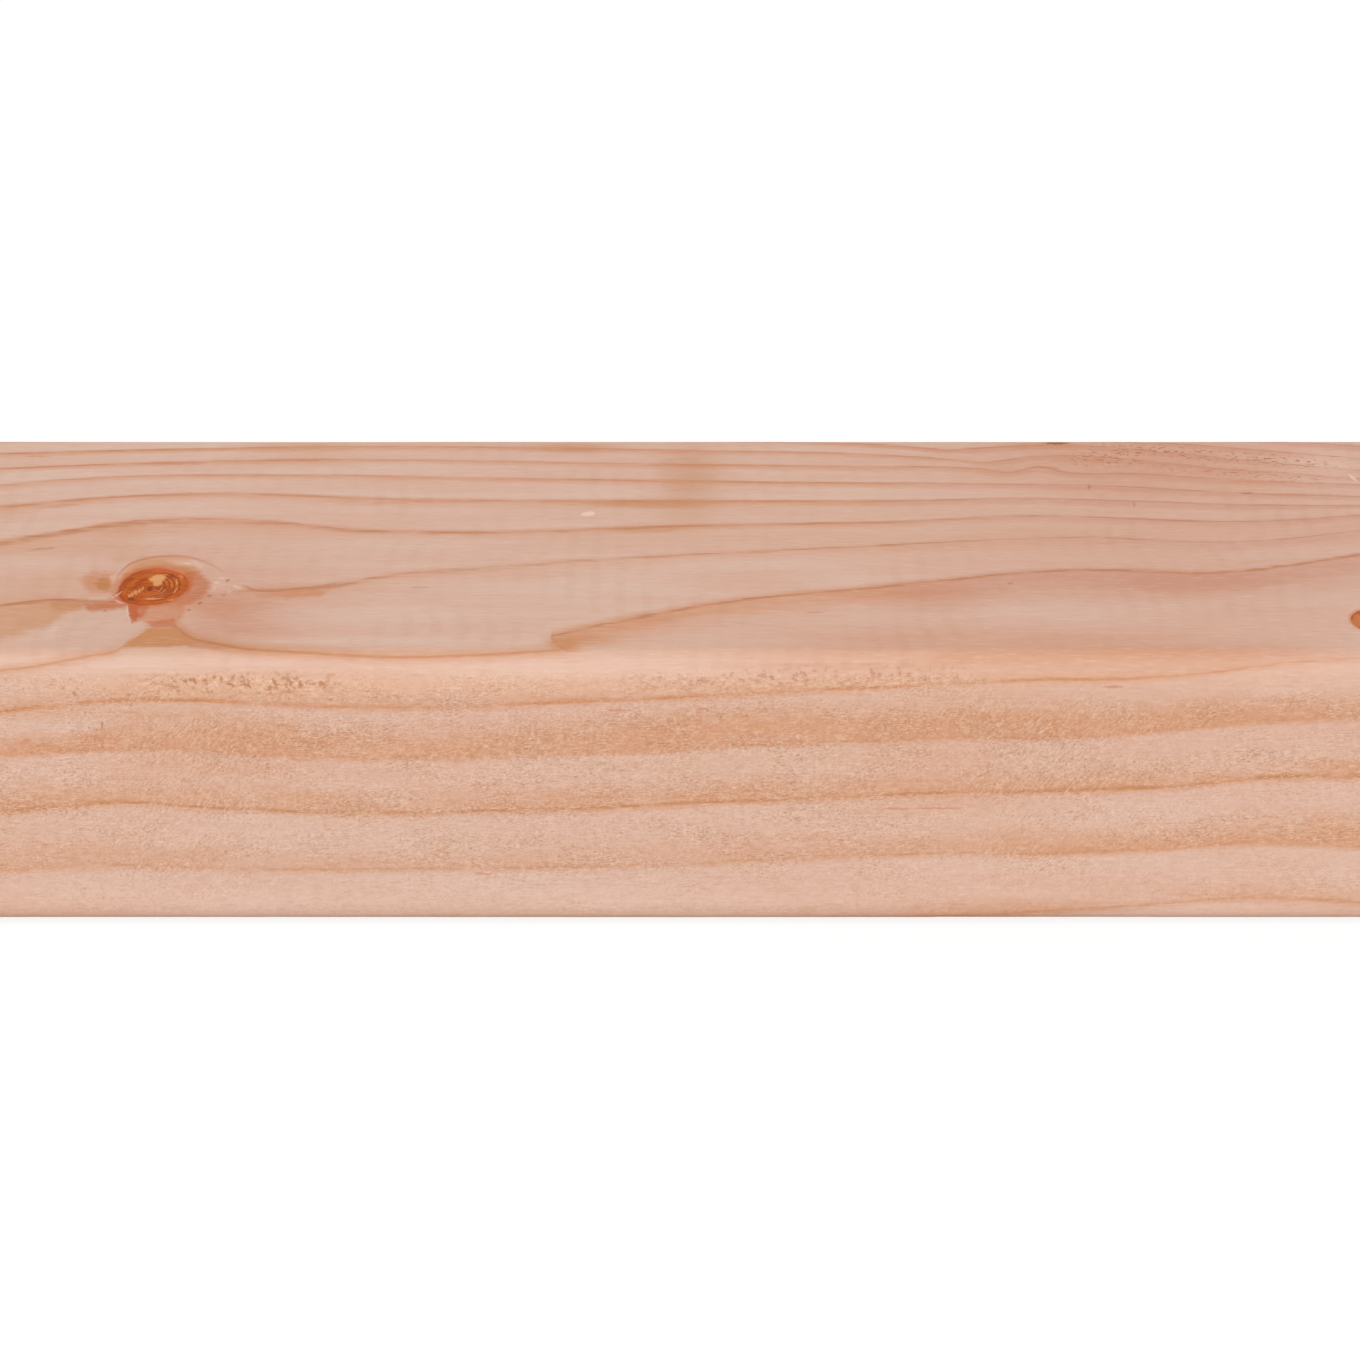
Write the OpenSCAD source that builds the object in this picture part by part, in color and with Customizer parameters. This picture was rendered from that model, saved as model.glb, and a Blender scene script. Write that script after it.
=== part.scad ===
// Planed softwood plank: one sawn piece with four eased long edges and square-cut ends.
// It lies flat. The origin is at the middle of the underside, +X runs along the grain,
// +Y points to the back edge and +Z points up out of the top face. Sizes are in millimetres.

/* [Plank] */
// Cut length along the grain
length = 1219; // [300:1:4900]
// Finished width, from the front edge to the back edge
width = 89; // [38:1:300]
// Finished thickness, from the underside to the top face
thickness = 38; // [16:1:100]

/* [Edges] */
// Radius of the rounding on the four long edges
eased_radius = 3.2; // [0.5:0.1:7]

/* [Hidden] */
// Facets of one full turn of the edge rounding
$fn = 96;
// Flat stretch that is left of each broad face and of each narrow edge
flat_width = width - 2 * eased_radius;
flat_thickness = thickness - 2 * eased_radius;

// Cross-section seen from the right-hand end: across the width, then up the thickness.
// Two crossed bars give the flat faces, and a round at each corner eases the edge.
module planed_section() {
    translate([-width / 2, eased_radius])
        square([width, flat_thickness]);
    translate([-flat_width / 2, 0])
        square([flat_width, thickness]);
    for (across = [-flat_width / 2, flat_width / 2])
        for (up = [eased_radius, thickness - eased_radius])
            translate([across, up])
                circle(r = eased_radius);
}

// The plank itself: the section run along the grain and cut square at both ends.
module plank() {
    color([0.86, 0.69, 0.59])
        translate([-length / 2, 0, 0])
            rotate([90, 0, 90])
                linear_extrude(height = length)
                    planed_section();
}

plank();
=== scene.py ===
"""Looks of a planed softwood plank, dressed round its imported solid.

The plank is one closed surface: its eased section is carried along the grain on a grid whose columns
crowd together where the wood is busy. One growth field, counted in years outwards from the pith, is
worked out at every vertex, so rings, latewood and end grain agree on all six sides. Lengths are in
millimetres until a mesh is written, and pixels are those of a square picture 1360 px wide.
"""

import logging
import math
import operator
from dataclasses import dataclass, field
from enum import Enum
from functools import cache, cached_property, reduce

import bpy
import numpy as np
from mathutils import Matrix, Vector


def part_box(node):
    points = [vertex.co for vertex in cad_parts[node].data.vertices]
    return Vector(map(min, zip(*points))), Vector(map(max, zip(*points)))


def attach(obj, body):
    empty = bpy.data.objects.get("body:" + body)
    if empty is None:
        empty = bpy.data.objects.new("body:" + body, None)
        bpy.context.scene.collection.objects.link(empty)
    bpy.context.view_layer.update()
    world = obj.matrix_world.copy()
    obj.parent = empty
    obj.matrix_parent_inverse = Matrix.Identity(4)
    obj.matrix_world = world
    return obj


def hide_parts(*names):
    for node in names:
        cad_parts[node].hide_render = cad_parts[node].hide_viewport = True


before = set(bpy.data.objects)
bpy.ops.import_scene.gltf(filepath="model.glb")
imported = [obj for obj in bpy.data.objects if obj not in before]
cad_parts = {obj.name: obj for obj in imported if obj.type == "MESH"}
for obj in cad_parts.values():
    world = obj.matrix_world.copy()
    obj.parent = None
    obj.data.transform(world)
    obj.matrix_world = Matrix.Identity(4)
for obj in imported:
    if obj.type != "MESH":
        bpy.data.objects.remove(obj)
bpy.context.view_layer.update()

MM = 0.001
PICTURE = 1360.0
Colour = tuple[float, float, float]
Span = tuple[float, float]
Points = tuple[Span, ...]
WHITE: Colour = (255.0, 255.0, 255.0)
log = logging.getLogger("plank")

# What the noise hashes a lattice corner with.
HASH_PRIMES = np.array([73856093, 19349663, 83492791])
HASH_SEED = 40503
HASH_MIX = 1274126177
WORD = 0xFFFFFFFF
HALF_WORD = 0xFFFF


class Cut(Enum):
    """How a face runs to the grain, which decides how the finish shows the rings."""

    ALONG = "face_grain"
    ACROSS = "end_grain"


class Side(Enum):
    """The four long stretches of the section, in the order in which it is walked."""

    TOP = 0
    FRONT = 1
    UNDERSIDE = 2
    BACK = 3


class MarkKind(Enum):
    """A small mark with a crisp edge, and its colour as sRGB from 0 to 255."""

    CHIP = (224, 160, 104)
    PIT = (112, 44, 10)
    DARK = (146, 78, 36)
    SPECK = (164, 98, 62)
    PALE = (236, 202, 178)
    ORANGE = (214, 138, 92)
    RED = (206, 134, 100)
    TICK = (192, 134, 92)


class Grain(Enum):
    """Noise drawn out along the grain: its blots' length and breadth in millimetres, and its detail."""

    RAGGED = (10.0, 1.2, 2.0)
    FRAY = (1.5, 0.25, 2.0)
    CLOUD = (42.0, 7.0, 2.0)
    UNEVEN = (6.0, 1.5, 2.0)
    BANDS = (24.0, 5.0, 2.0)
    FLUSH = (9.0, 1.6, 2.0)
    VARIED = (8.0, 1.8, 2.0)
    REDDISH = (13.0, 3.0, 2.0)
    WAVER = (1.1, 0.9, 2.0)
    STREAK = (16.0, 0.30, 3.0)
    HAIR = (2.2, 0.35, 2.0)
    CHATTER = (30.0, 14.0, 2.0)
    CHATTER_AREA = (18.0, 20.0, 2.0)
    NAP = (0.42, 0.24, 2.0)
    PATCHY = (9.0, 3.0, 2.0)
    STROKE = (1.0, 0.17, 1.0)
    TICK = (0.30, 1.1, 1.0)
    DOT = (0.34, 0.30, 0.0)
    FLECK = (0.80, 0.62, 1.0)
    KNOT_EDGE = (1.6, 2.6, 2.0)
    KNOT_PATCHY = (1.3, 2.4, 2.0)
    HATCH = (1.6, 0.8, 1.0)


def smoothstep(low: float, high: float, value: np.ndarray) -> np.ndarray:
    """Eases from 0 at low to 1 at high along 3t^2 - 2t^3. Low may be the larger of the two."""
    share = np.clip((value - low) / (high - low), 0.0, 1.0)
    return share * share * (3.0 - 2.0 * share)


def between(rise: Span, fall: Span, value: np.ndarray) -> np.ndarray:
    """Eases up from 0 to 1 over the rise and down again over the fall."""
    return smoothstep(*rise, value) * smoothstep(*reversed(fall), value)


def bell(middle: float, half: float, power: int, value: np.ndarray) -> np.ndarray:
    """One over e to the given power of the distance from the middle in half widths."""
    return np.exp(-(((value - middle) / half) ** power))


def lattice_noise(points: np.ndarray, length: float, breadth: float, seed: int) -> np.ndarray:
    """Smooth noise: a hashed value at each corner of a lattice, eased between the corners.

    Args:
        points: Places in millimetres, last axis x, y, z.
        length: Size of the lattice's cells along the grain.
        breadth: Their size across it.
        seed: Number that picks one pattern.

    Returns:
        Values from 0 to 1, one for each place.
    """
    scaled = points / np.array([length, breadth, breadth])
    cell = np.floor(scaled).astype(np.int64)
    part = scaled - cell
    part = part * part * (3.0 - 2.0 * part)
    total = np.zeros(points.shape[:-1])
    for corner in np.ndindex(2, 2, 2):
        key = ((cell + np.array(corner)) @ HASH_PRIMES + seed * HASH_SEED) & WORD
        key = ((key ^ (key >> 13)) * HASH_MIX) & WORD
        value = ((key ^ (key >> 16)) & HALF_WORD) / HALF_WORD
        total += value * np.prod(np.where(corner, part, 1.0 - part), axis=-1)
    return total


def linear(colour: Colour) -> tuple[float, ...]:
    """Turns an sRGB colour from 0 to 255 into the linear RGBA that shaders read, with an alpha of 1."""
    share = [part / 255.0 for part in colour]
    return (*(part / 12.92 if part <= 0.04045 else ((part + 0.055) / 1.055) ** 2.4 for part in share), 1.0)


def carried(points: Points, at: np.ndarray) -> np.ndarray:
    """Smooth line through given points: cubic pieces whose slopes follow the neighbouring points.

    Beyond its ends the line runs on along its last slope and levels off.

    Args:
        points: (across, down) pairs in order of the first number.
        at: Places along the first axis.

    Returns:
        The line's second number at each place.
    """
    level_off = 150.0
    known = np.array([point[0] for point in points], float)
    value = np.array([point[1] for point in points], float)
    slope = np.gradient(value, known)
    piece = np.clip(np.searchsorted(known, at) - 1, 0, len(known) - 2)
    span = known[piece + 1] - known[piece]
    t = np.clip((at - known[piece]) / span, 0.0, 1.0)
    line = (2 * t**3 - 3 * t**2 + 1) * value[piece] + (3 * t**2 - 2 * t**3) * value[piece + 1]
    line += span * ((t**3 - 2 * t**2 + t) * slope[piece] + (t**3 - t**2) * slope[piece + 1])
    before = np.maximum(known[0] - at, 0.0)
    after = np.maximum(at - known[-1], 0.0)
    line -= slope[0] * level_off * (1.0 - np.exp(-before / level_off))
    return line + slope[-1] * level_off * (1.0 - np.exp(-after / level_off))


@dataclass(frozen=True)
class Viewpoint:
    """The camera, level from side to side, which looks down on the front arris at mid-length."""

    lens: float = 135.0
    sensor: float = 36.0
    elevation: float = math.radians(21.33)
    distance: float = 658.7
    aim: tuple[float, float, float] = (0.0, -44.5, 34.66)
    clip: Span = (0.01, 100.0)

    @property
    def back(self) -> np.ndarray:
        """Direction from the aim to the eye."""
        return np.array([0.0, -math.cos(self.elevation), math.sin(self.elevation)])

    @property
    def up(self) -> np.ndarray:
        """Direction of the picture's upright."""
        return np.array([0.0, math.sin(self.elevation), math.cos(self.elevation)])

    @property
    def eye(self) -> np.ndarray:
        """Place of the camera."""
        return np.array(self.aim) + self.back * self.distance

    def project(self, points: np.ndarray) -> tuple[np.ndarray, np.ndarray]:
        """Finds the pixel of each point: its offset across and up over its depth, times the focal length.

        Args:
            points: Places in millimetres, last axis x, y, z.

        Returns:
            Pixel columns and pixel rows.
        """
        offset = points - self.eye
        scale = self.lens / self.sensor * PICTURE / -(offset @ self.back)
        return PICTURE / 2 + offset[..., 0] * scale, PICTURE / 2 - (offset @ self.up) * scale

    def place(self) -> None:
        """Makes the camera and gives it to the scene."""
        data = bpy.data.cameras.new("viewpoint")
        data.lens = self.lens
        data.sensor_width = self.sensor
        data.clip_start, data.clip_end = self.clip
        camera = bpy.data.objects.new("viewpoint", data)
        bpy.context.scene.collection.objects.link(camera)
        camera.location = Vector(self.eye * MM)
        camera.rotation_euler = (math.pi / 2 - self.elevation, 0.0, 0.0)
        bpy.context.scene.camera = camera


@dataclass(frozen=True)
class Section:
    """The planed section: a rectangle with eased corners, walked as one closed line of points.

    The walk goes along the top from back to front, down the front, along the underside to the back
    and up the back, with a quarter round at each corner. Points crowd together towards the front of
    the top face.
    """

    width: float
    thickness: float
    eased: float = 3.2
    steps: dict[Side, float] = field(
        default_factory=lambda: {Side.TOP: 1.15, Side.FRONT: 0.64, Side.UNDERSIDE: 4.2, Side.BACK: 2.2})
    crowding_share: float = 0.45
    round_steps: int = 7

    def walk(self) -> tuple[np.ndarray, np.ndarray, np.ndarray]:
        """Lays out the section's points: centre of each corner round plus radius times the turned normal.

        Returns:
            Points (n, 2) as y and z, outward normals (n, 2), and the number of the stretch that each
            point belongs to, where a corner round counts as a share of the way to the next stretch.
        """
        half = self.width / 2 - self.eased
        low, high = self.eased, self.thickness - self.eased
        corners = {Side.TOP: (-half, high), Side.FRONT: (-half, low),
                   Side.UNDERSIDE: (half, low), Side.BACK: (half, high)}
        centres, angles, stretch = [], [], []
        begin = np.array(corners[Side.BACK])
        for side in Side:
            end = np.array(corners[side])
            facing = math.radians(90.0 + 90.0 * side.value)
            count = round(float(np.abs(end - begin).sum()) / self.steps[side])
            share = np.linspace(0.0, 1.0, count + 1)[:, None]
            if side is Side.TOP:
                share = share + self.crowding_share * np.sin(math.pi * share) / math.pi
            centres.append(begin + (end - begin) * share)
            angles.append(np.full(count + 1, facing))
            stretch.append(np.full(count + 1, float(side.value)))
            turn = np.linspace(0.0, 1.0, self.round_steps + 1)[1:-1]
            centres.append(np.tile(end, (len(turn), 1)))
            angles.append(facing + turn * math.pi / 2)
            stretch.append(side.value + turn)
            begin = end
        angle = np.concatenate(angles)
        normals = np.stack([np.cos(angle), np.sin(angle)], axis=1)
        return np.concatenate(centres) + self.eased * normals, normals, np.concatenate(stretch)


@dataclass(frozen=True)
class Trace:
    """One line of equal growth, given in picture pixels, and the year that it stands for.

    bold is how strongly the line shows along its length.
    """

    points: Points
    years: Points
    bold: Points = ((0.0, 1.0),)

    def row(self, column: np.ndarray) -> np.ndarray:
        """Pixel row of the line at each pixel column."""
        return carried(self.points, column)

    def year(self, column: np.ndarray) -> np.ndarray:
        """Year of the line at each pixel column, straight between the given ones."""
        return along(self.years, column)


def along(pairs: Points, at: np.ndarray) -> np.ndarray:
    """Straight lines between given pairs, level beyond the ends."""
    return np.interp(at, [pair[0] for pair in pairs], [pair[1] for pair in pairs])


def ring(year: float, *points: Span, bold: Points = ((0.0, 1.0),)) -> Trace:
    """A line that stands for one whole year all along."""
    return Trace(points, ((0.0, year),), bold)


# Left of the tongue's tip its lines lie together, in wood of these years.
BEFORE_TIP = ((0, 0.72), (120, 0.70), (160, 0.5), (250, 0.55), (330, 0.55), (450, 0.4), (547, 0.3))
TIP_LEAD = ((0, 618), (300, 615), (450, 630), (551, 636))

# Growth lines from the back arris forward and then down the front edge. The tongue is the old wood
# that the top face cuts free in the right half.
TRACES = (
    ring(9, (0, 414), (700, 411), (1000, 419), (1200, 434), (1360, 446)),
    ring(8, (0, 427), (700, 424), (1000, 432), (1200, 445), (1360, 458)),
    ring(7, (0, 440), (300, 434), (700, 438), (900, 446), (953, 450), (988, 447), (1030, 445),
         (1080, 445), (1130, 448), (1200, 455), (1280, 463), (1360, 470)),
    ring(6, (0, 453), (170, 449), (340, 446), (510, 447), (680, 450), (850, 453), (950, 459),
         (980, 462), (1030, 456.5), (1070, 454.5), (1135, 459), (1200, 466), (1360, 478),
         bold=((0, 1.3), (200, 1.0), (430, 0.5), (640, 0.6), (840, 0.8), (1000, 1.1), (1360, 0.8))),
    ring(5, (0, 468), (170, 462), (340, 459), (510, 461), (680, 464), (850, 466), (988, 469),
         (1009, 472), (1038, 465.5), (1062, 471), (1135, 473), (1250, 480), (1360, 484),
         bold=((0, 1.2), (260, 1.3), (400, 0.5), (520, 0.5), (640, 0.85), (840, 1.0), (1040, 1.2),
               (1360, 0.8))),
    ring(4, (0, 485), (60, 479), (118, 476), (180, 474.5), (300, 474.5), (460, 477), (680, 480),
         (900, 483), (1018, 483.5), (1135, 486.5), (1194, 490.5), (1276, 494), (1360, 496),
         bold=((0, 0.7), (260, 0.8), (460, 0.7), (640, 0.85), (840, 1.1), (1000, 0.9), (1360, 1.0))),
    ring(3, (0, 506), (50, 501.5), (118, 496), (190, 493.5), (280, 494), (380, 498), (460, 499.5),
         (680, 500), (900, 500), (1047, 498), (1135, 500.5), (1223, 503.5), (1360, 505),
         bold=((0, 0.9), (260, 0.75), (460, 0.7), (640, 1.0), (1360, 1.0))),
    ring(2, (0, 541), (60, 531.5), (110, 523), (200, 518), (270, 521), (340, 528), (450, 531.5),
         (560, 530), (680, 525.5), (900, 521), (1047, 515), (1135, 518), (1223, 521), (1312, 518),
         (1360, 514), bold=((0, 1.2), (120, 1.0), (300, 0.8), (450, 0.9), (640, 1.2), (860, 0.9),
                            (1360, 0.9))),
    ring(1, (0, 605), (60, 600), (115, 603), (250, 590), (330, 585), (400, 573), (480, 567),
         (560, 561), (680, 554), (860, 545.5), (1020, 538), (1100, 537), (1200, 541), (1260, 540),
         (1360, 530), bold=((0, 1.2), (115, 1.1), (260, 0.9), (380, 0.7), (460, 0.45), (560, 0.55),
                            (700, 0.65), (900, 0.8), (1360, 0.9))),
    Trace((*TIP_LEAD, (570, 631.5), (612, 622), (656, 614), (703, 605), (760, 597), (862, 588),
           (959, 578), (1047, 570), (1106, 569), (1223, 571.5), (1282, 565), (1360, 553)),
          (*BEFORE_TIP, (551, 0.0))),
    Trace((*TIP_LEAD, (560, 640), (612, 634), (656, 628), (703, 620), (862, 606), (1047, 592),
           (1223, 593), (1360, 576)),
          (*BEFORE_TIP, (551, 0.0), (558, -0.16), (612, -0.22), (656, -0.25), (703, -0.28),
           (862, -0.32), (1360, -0.34))),
    Trace((*TIP_LEAD, (560, 643), (612, 643), (703, 643), (1360, 643)),
          (*BEFORE_TIP, (551, 0.0), (558, -0.12), (612, -0.26), (656, -0.34), (703, -0.42),
           (862, -0.5), (1360, -0.55))),
    Trace((*TIP_LEAD, (555, 641), (563, 648.5), (600, 649.5), (1360, 650)),
          (*BEFORE_TIP, (551, 0.0), (563, 0.0), (570, -0.14), (612, -0.28), (703, -0.4), (1360, -0.5))),
    Trace(((0, 670.5), (30, 667), (60, 661.5), (90, 655.5), (121, 650), (190, 649.5), (240, 650),
           (300, 652), (400, 657), (450, 656), (494, 654), (524, 652), (553, 650.5), (564, 650),
           (700, 652), (1360, 654)),
          ((0, 0.15), (620, 0.15), (900, 0.4), (1360, 0.5))),
    ring(1, (0, 712), (60, 706.5), (130, 701), (200, 702), (340, 708), (480, 707), (560, 703),
         (680, 698), (860, 689), (1020, 681), (1180, 676), (1230, 670), (1291, 661), (1360, 657),
         bold=((0, 1.3), (130, 1.0), (300, 0.85), (500, 0.75), (700, 0.9), (980, 0.8), (1200, 0.6),
               (1360, 0.5))),
    ring(2, (0, 755.5), (110, 748.5), (180, 748.5), (340, 757.5), (450, 757.5), (560, 753), (680, 749.5),
         (760, 744.5), (860, 741), (940, 738), (1020, 738.5), (1100, 735.5), (1140, 732), (1220, 724),
         (1260, 721.5), (1360, 718)),
    ring(3, (0, 813), (130, 803), (210, 808.5), (270, 811), (450, 812.5), (560, 809.5), (620, 807.5),
         (680, 804.5), (800, 799), (1020, 791.5), (1140, 789), (1190, 786), (1240, 780), (1275, 777.5),
         (1360, 777.5)),
    ring(4, (0, 870), (130, 866), (210, 868.5), (340, 870), (480, 868.5), (680, 864.5), (800, 858.5),
         (880, 855.5), (940, 854), (1020, 854), (1140, 850.5), (1260, 843), (1360, 847)),
    ring(5, (0, 935), (400, 930), (800, 922), (1020, 913.5), (1111, 908), (1180, 902.5), (1226, 899),
         (1269, 898), (1360, 902)),
    ring(6, (0, 995), (400, 990), (800, 982), (1111, 968), (1269, 960), (1360, 965)),
)

# The line where the oldest ring just breaks through along the front arris.
SEAM = Trace(((0, 670.5), (30, 667), (60, 661.5), (90, 655.5), (121, 647.5), (137, 632.5), (152, 627),
              (174, 626.5), (190, 637), (215, 643), (240, 647.5), (300, 652), (400, 657), (450, 656),
              (494, 654), (524, 652), (553, 650), (600, 648)),
             ((0, 0.0),),
             ((-300, 0.0), (0, 0.9), (110, 0.9), (125, 0.3), (168, 0.3), (182, 1.7), (235, 1.6), (300, 1.1),
              (540, 1.0), (558, 0.7), (572, 0.0)))

# The thin line that arches over the knot.
BROW = Trace(((100, 600), (112, 585), (119, 574), (127, 565.7), (137, 560.7), (150, 557.4), (170, 555.7),
              (187, 556.4), (198.6, 559.3), (210, 563.6), (219, 568.6), (240, 582)),
             ((0, 0.0),),
             ((114, 0.0), (121, 0.55), (130, 0.85), (150, 0.75), (187, 0.6), (200, 0.5), (219, 0.25),
              (230, 0.0)))

# The thin dark line where the first ring runs up to the knot from both sides.
CREASE = Trace(((-60, 612), (0, 605.5), (25, 601.7), (50, 599.5), (72, 599.5), (85, 600.5), (107, 600.5),
                (180, 592), (246, 586.5), (252, 589), (262, 590.7), (275, 590.5), (300, 588), (322, 585.7),
                (337, 582.5), (360, 578)),
               ((0, 0.0),),
               ((-250, 0.0), (0, 0.75), (60, 0.85), (95, 0.6), (108, 0.0), (242, 0.0), (250, 0.75),
                (300, 0.7), (330, 0.5), (350, 0.0)))

# How much later than usual a year's summer wood starts on the front edge, by year and pixel column.
LATER_STARTS = {
    2: ((0, 0.42), (60, 0.42), (130, 0.12), (220, 0.02), (330, 0.13), (430, 0.22), (560, 0.10),
        (620, 0.14), (680, 0.05), (760, 0.10), (860, 0.14), (1020, 0.16), (1160, 0.24), (1360, 0.4)),
    3: ((0, 0.0), (300, 0.04), (400, 0.06), (560, 0.06), (660, 0.12), (780, 0.04), (1080, 0.03),
        (1180, 0.16), (1260, 0.26), (1340, 0.08)),
}


@dataclass(frozen=True)
class RingLook:
    """How the end of one year looks: where its summer wood starts, how tan it is, and its dark line.

    crisp is the line's strength and thin its width, as a share of the year.
    """

    year: float
    starts: float
    tan: float
    crisp: float
    thin: float


RING_LOOKS = {
    Side.TOP: (
        RingLook(-1, 0.60, 0.9, 0.9, 0.04), RingLook(0, 0.58, 1.0, 1.2, 0.045),
        RingLook(0.2, 0.74, 0.6, 0.80, 0.055), RingLook(1, 0.74, 0.55, 0.80, 0.055),
        RingLook(2, 0.72, 0.75, 0.72, 0.10), RingLook(3, 0.64, 0.80, 0.62, 0.11),
        RingLook(4, 0.64, 0.70, 0.56, 0.12), RingLook(5, 0.62, 0.72, 0.56, 0.12),
        RingLook(6, 0.60, 0.80, 0.58, 0.12), RingLook(8, 0.60, 0.80, 0.58, 0.12)),
    Side.FRONT: (
        RingLook(0, 0.45, 0.60, 0.50, 0.08), RingLook(1, 0.48, 0.70, 0.80, 0.08),
        RingLook(1.15, 0.0, 1.0, 0.10, 0.055), RingLook(2, 0.0, 1.0, 0.15, 0.055),
        RingLook(2.15, 0.32, 0.90, 0.80, 0.065), RingLook(3, 0.32, 0.90, 0.95, 0.065),
        RingLook(3.15, 0.38, 0.86, 0.30, 0.055), RingLook(4, 0.38, 0.86, 0.34, 0.055),
        RingLook(4.2, 0.62, 0.70, 0.28, 0.055), RingLook(5, 0.62, 0.70, 0.30, 0.055),
        RingLook(5.2, 0.45, 0.65, 0.40, 0.055), RingLook(8, 0.45, 0.65, 0.45, 0.055)),
}


@dataclass(frozen=True)
class Knot:
    """A branch that the plank was cut through: an elliptical cone from the pith outwards.

    along and behind place its middle on the plane of the top face, behind being measured from the
    front edge. half_along and half_across are its half sizes there, tilt is how far it slants back
    for each millimetre along, and lean is how far it moves along the grain as it goes down.
    """

    along: float
    behind: float
    half_along: float
    half_across: float
    tilt: float = 0.0
    lean: float = 0.0
    widening: float = 0.012

    def reach(self, points: np.ndarray, rings: "GrowthRings", plank: Section) -> np.ndarray:
        """Offset from the knot's middle in units of its half size, on the level of each point.

        Args:
            points: Places in millimetres.
            rings: Growth that holds the pith, where the branch starts.
            plank: Section that the knot is cut by.

        Returns:
            Offsets along and across the grain, on the last axis.
        """
        below = plank.thickness - points[..., 2]
        middle_y = -plank.width / 2 + self.behind
        pith_y, pith_z = rings.pith(np.array(self.along), plank)
        slope = (middle_y - pith_y) / (pith_z - plank.thickness)
        size = 1.0 + self.widening * below
        step = points[..., 0] - self.along - self.lean * below
        back = points[..., 1] - middle_y - slope * below - self.tilt * step
        return np.stack([step / (self.half_along * size), back / (self.half_across * size)], axis=-1)


KNOTS = (
    Knot(along=-70.5, behind=26.0, half_along=4.62, half_across=7.2, tilt=0.08, lean=-0.10),
    Knot(along=90.7, behind=13.2, half_along=2.6, half_across=4.0, lean=0.08),
    Knot(along=-371.0, behind=52.0, half_along=5.6, half_across=7.0, tilt=-0.2, lean=-0.12),
    Knot(along=318.0, behind=33.0, half_along=6.4, half_across=8.0, tilt=0.2, lean=-0.08),
    Knot(along=496.0, behind=66.0, half_along=3.6, half_across=5.0, tilt=0.1, lean=0.10),
)


def nearest_knot(points: np.ndarray, rings: "GrowthRings", plank: Section) -> np.ndarray:
    """Finds the knot whose middle is fewest half sizes away.

    Args:
        points: Places in millimetres.
        rings: Growth that holds the pith.
        plank: Section of the plank.

    Returns:
        On the last axis, the offsets along and across, and the distance, all in half sizes.
    """
    reaches = np.stack([knot.reach(points, rings, plank) for knot in KNOTS])
    away = np.hypot(reaches[..., 0], reaches[..., 1])
    nearest = np.argmin(away, axis=0)[None]
    offset = np.take_along_axis(reaches, nearest[..., None], axis=0)[0]
    return np.concatenate([offset, np.take_along_axis(away, nearest, axis=0)[0][..., None]], axis=-1)


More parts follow.
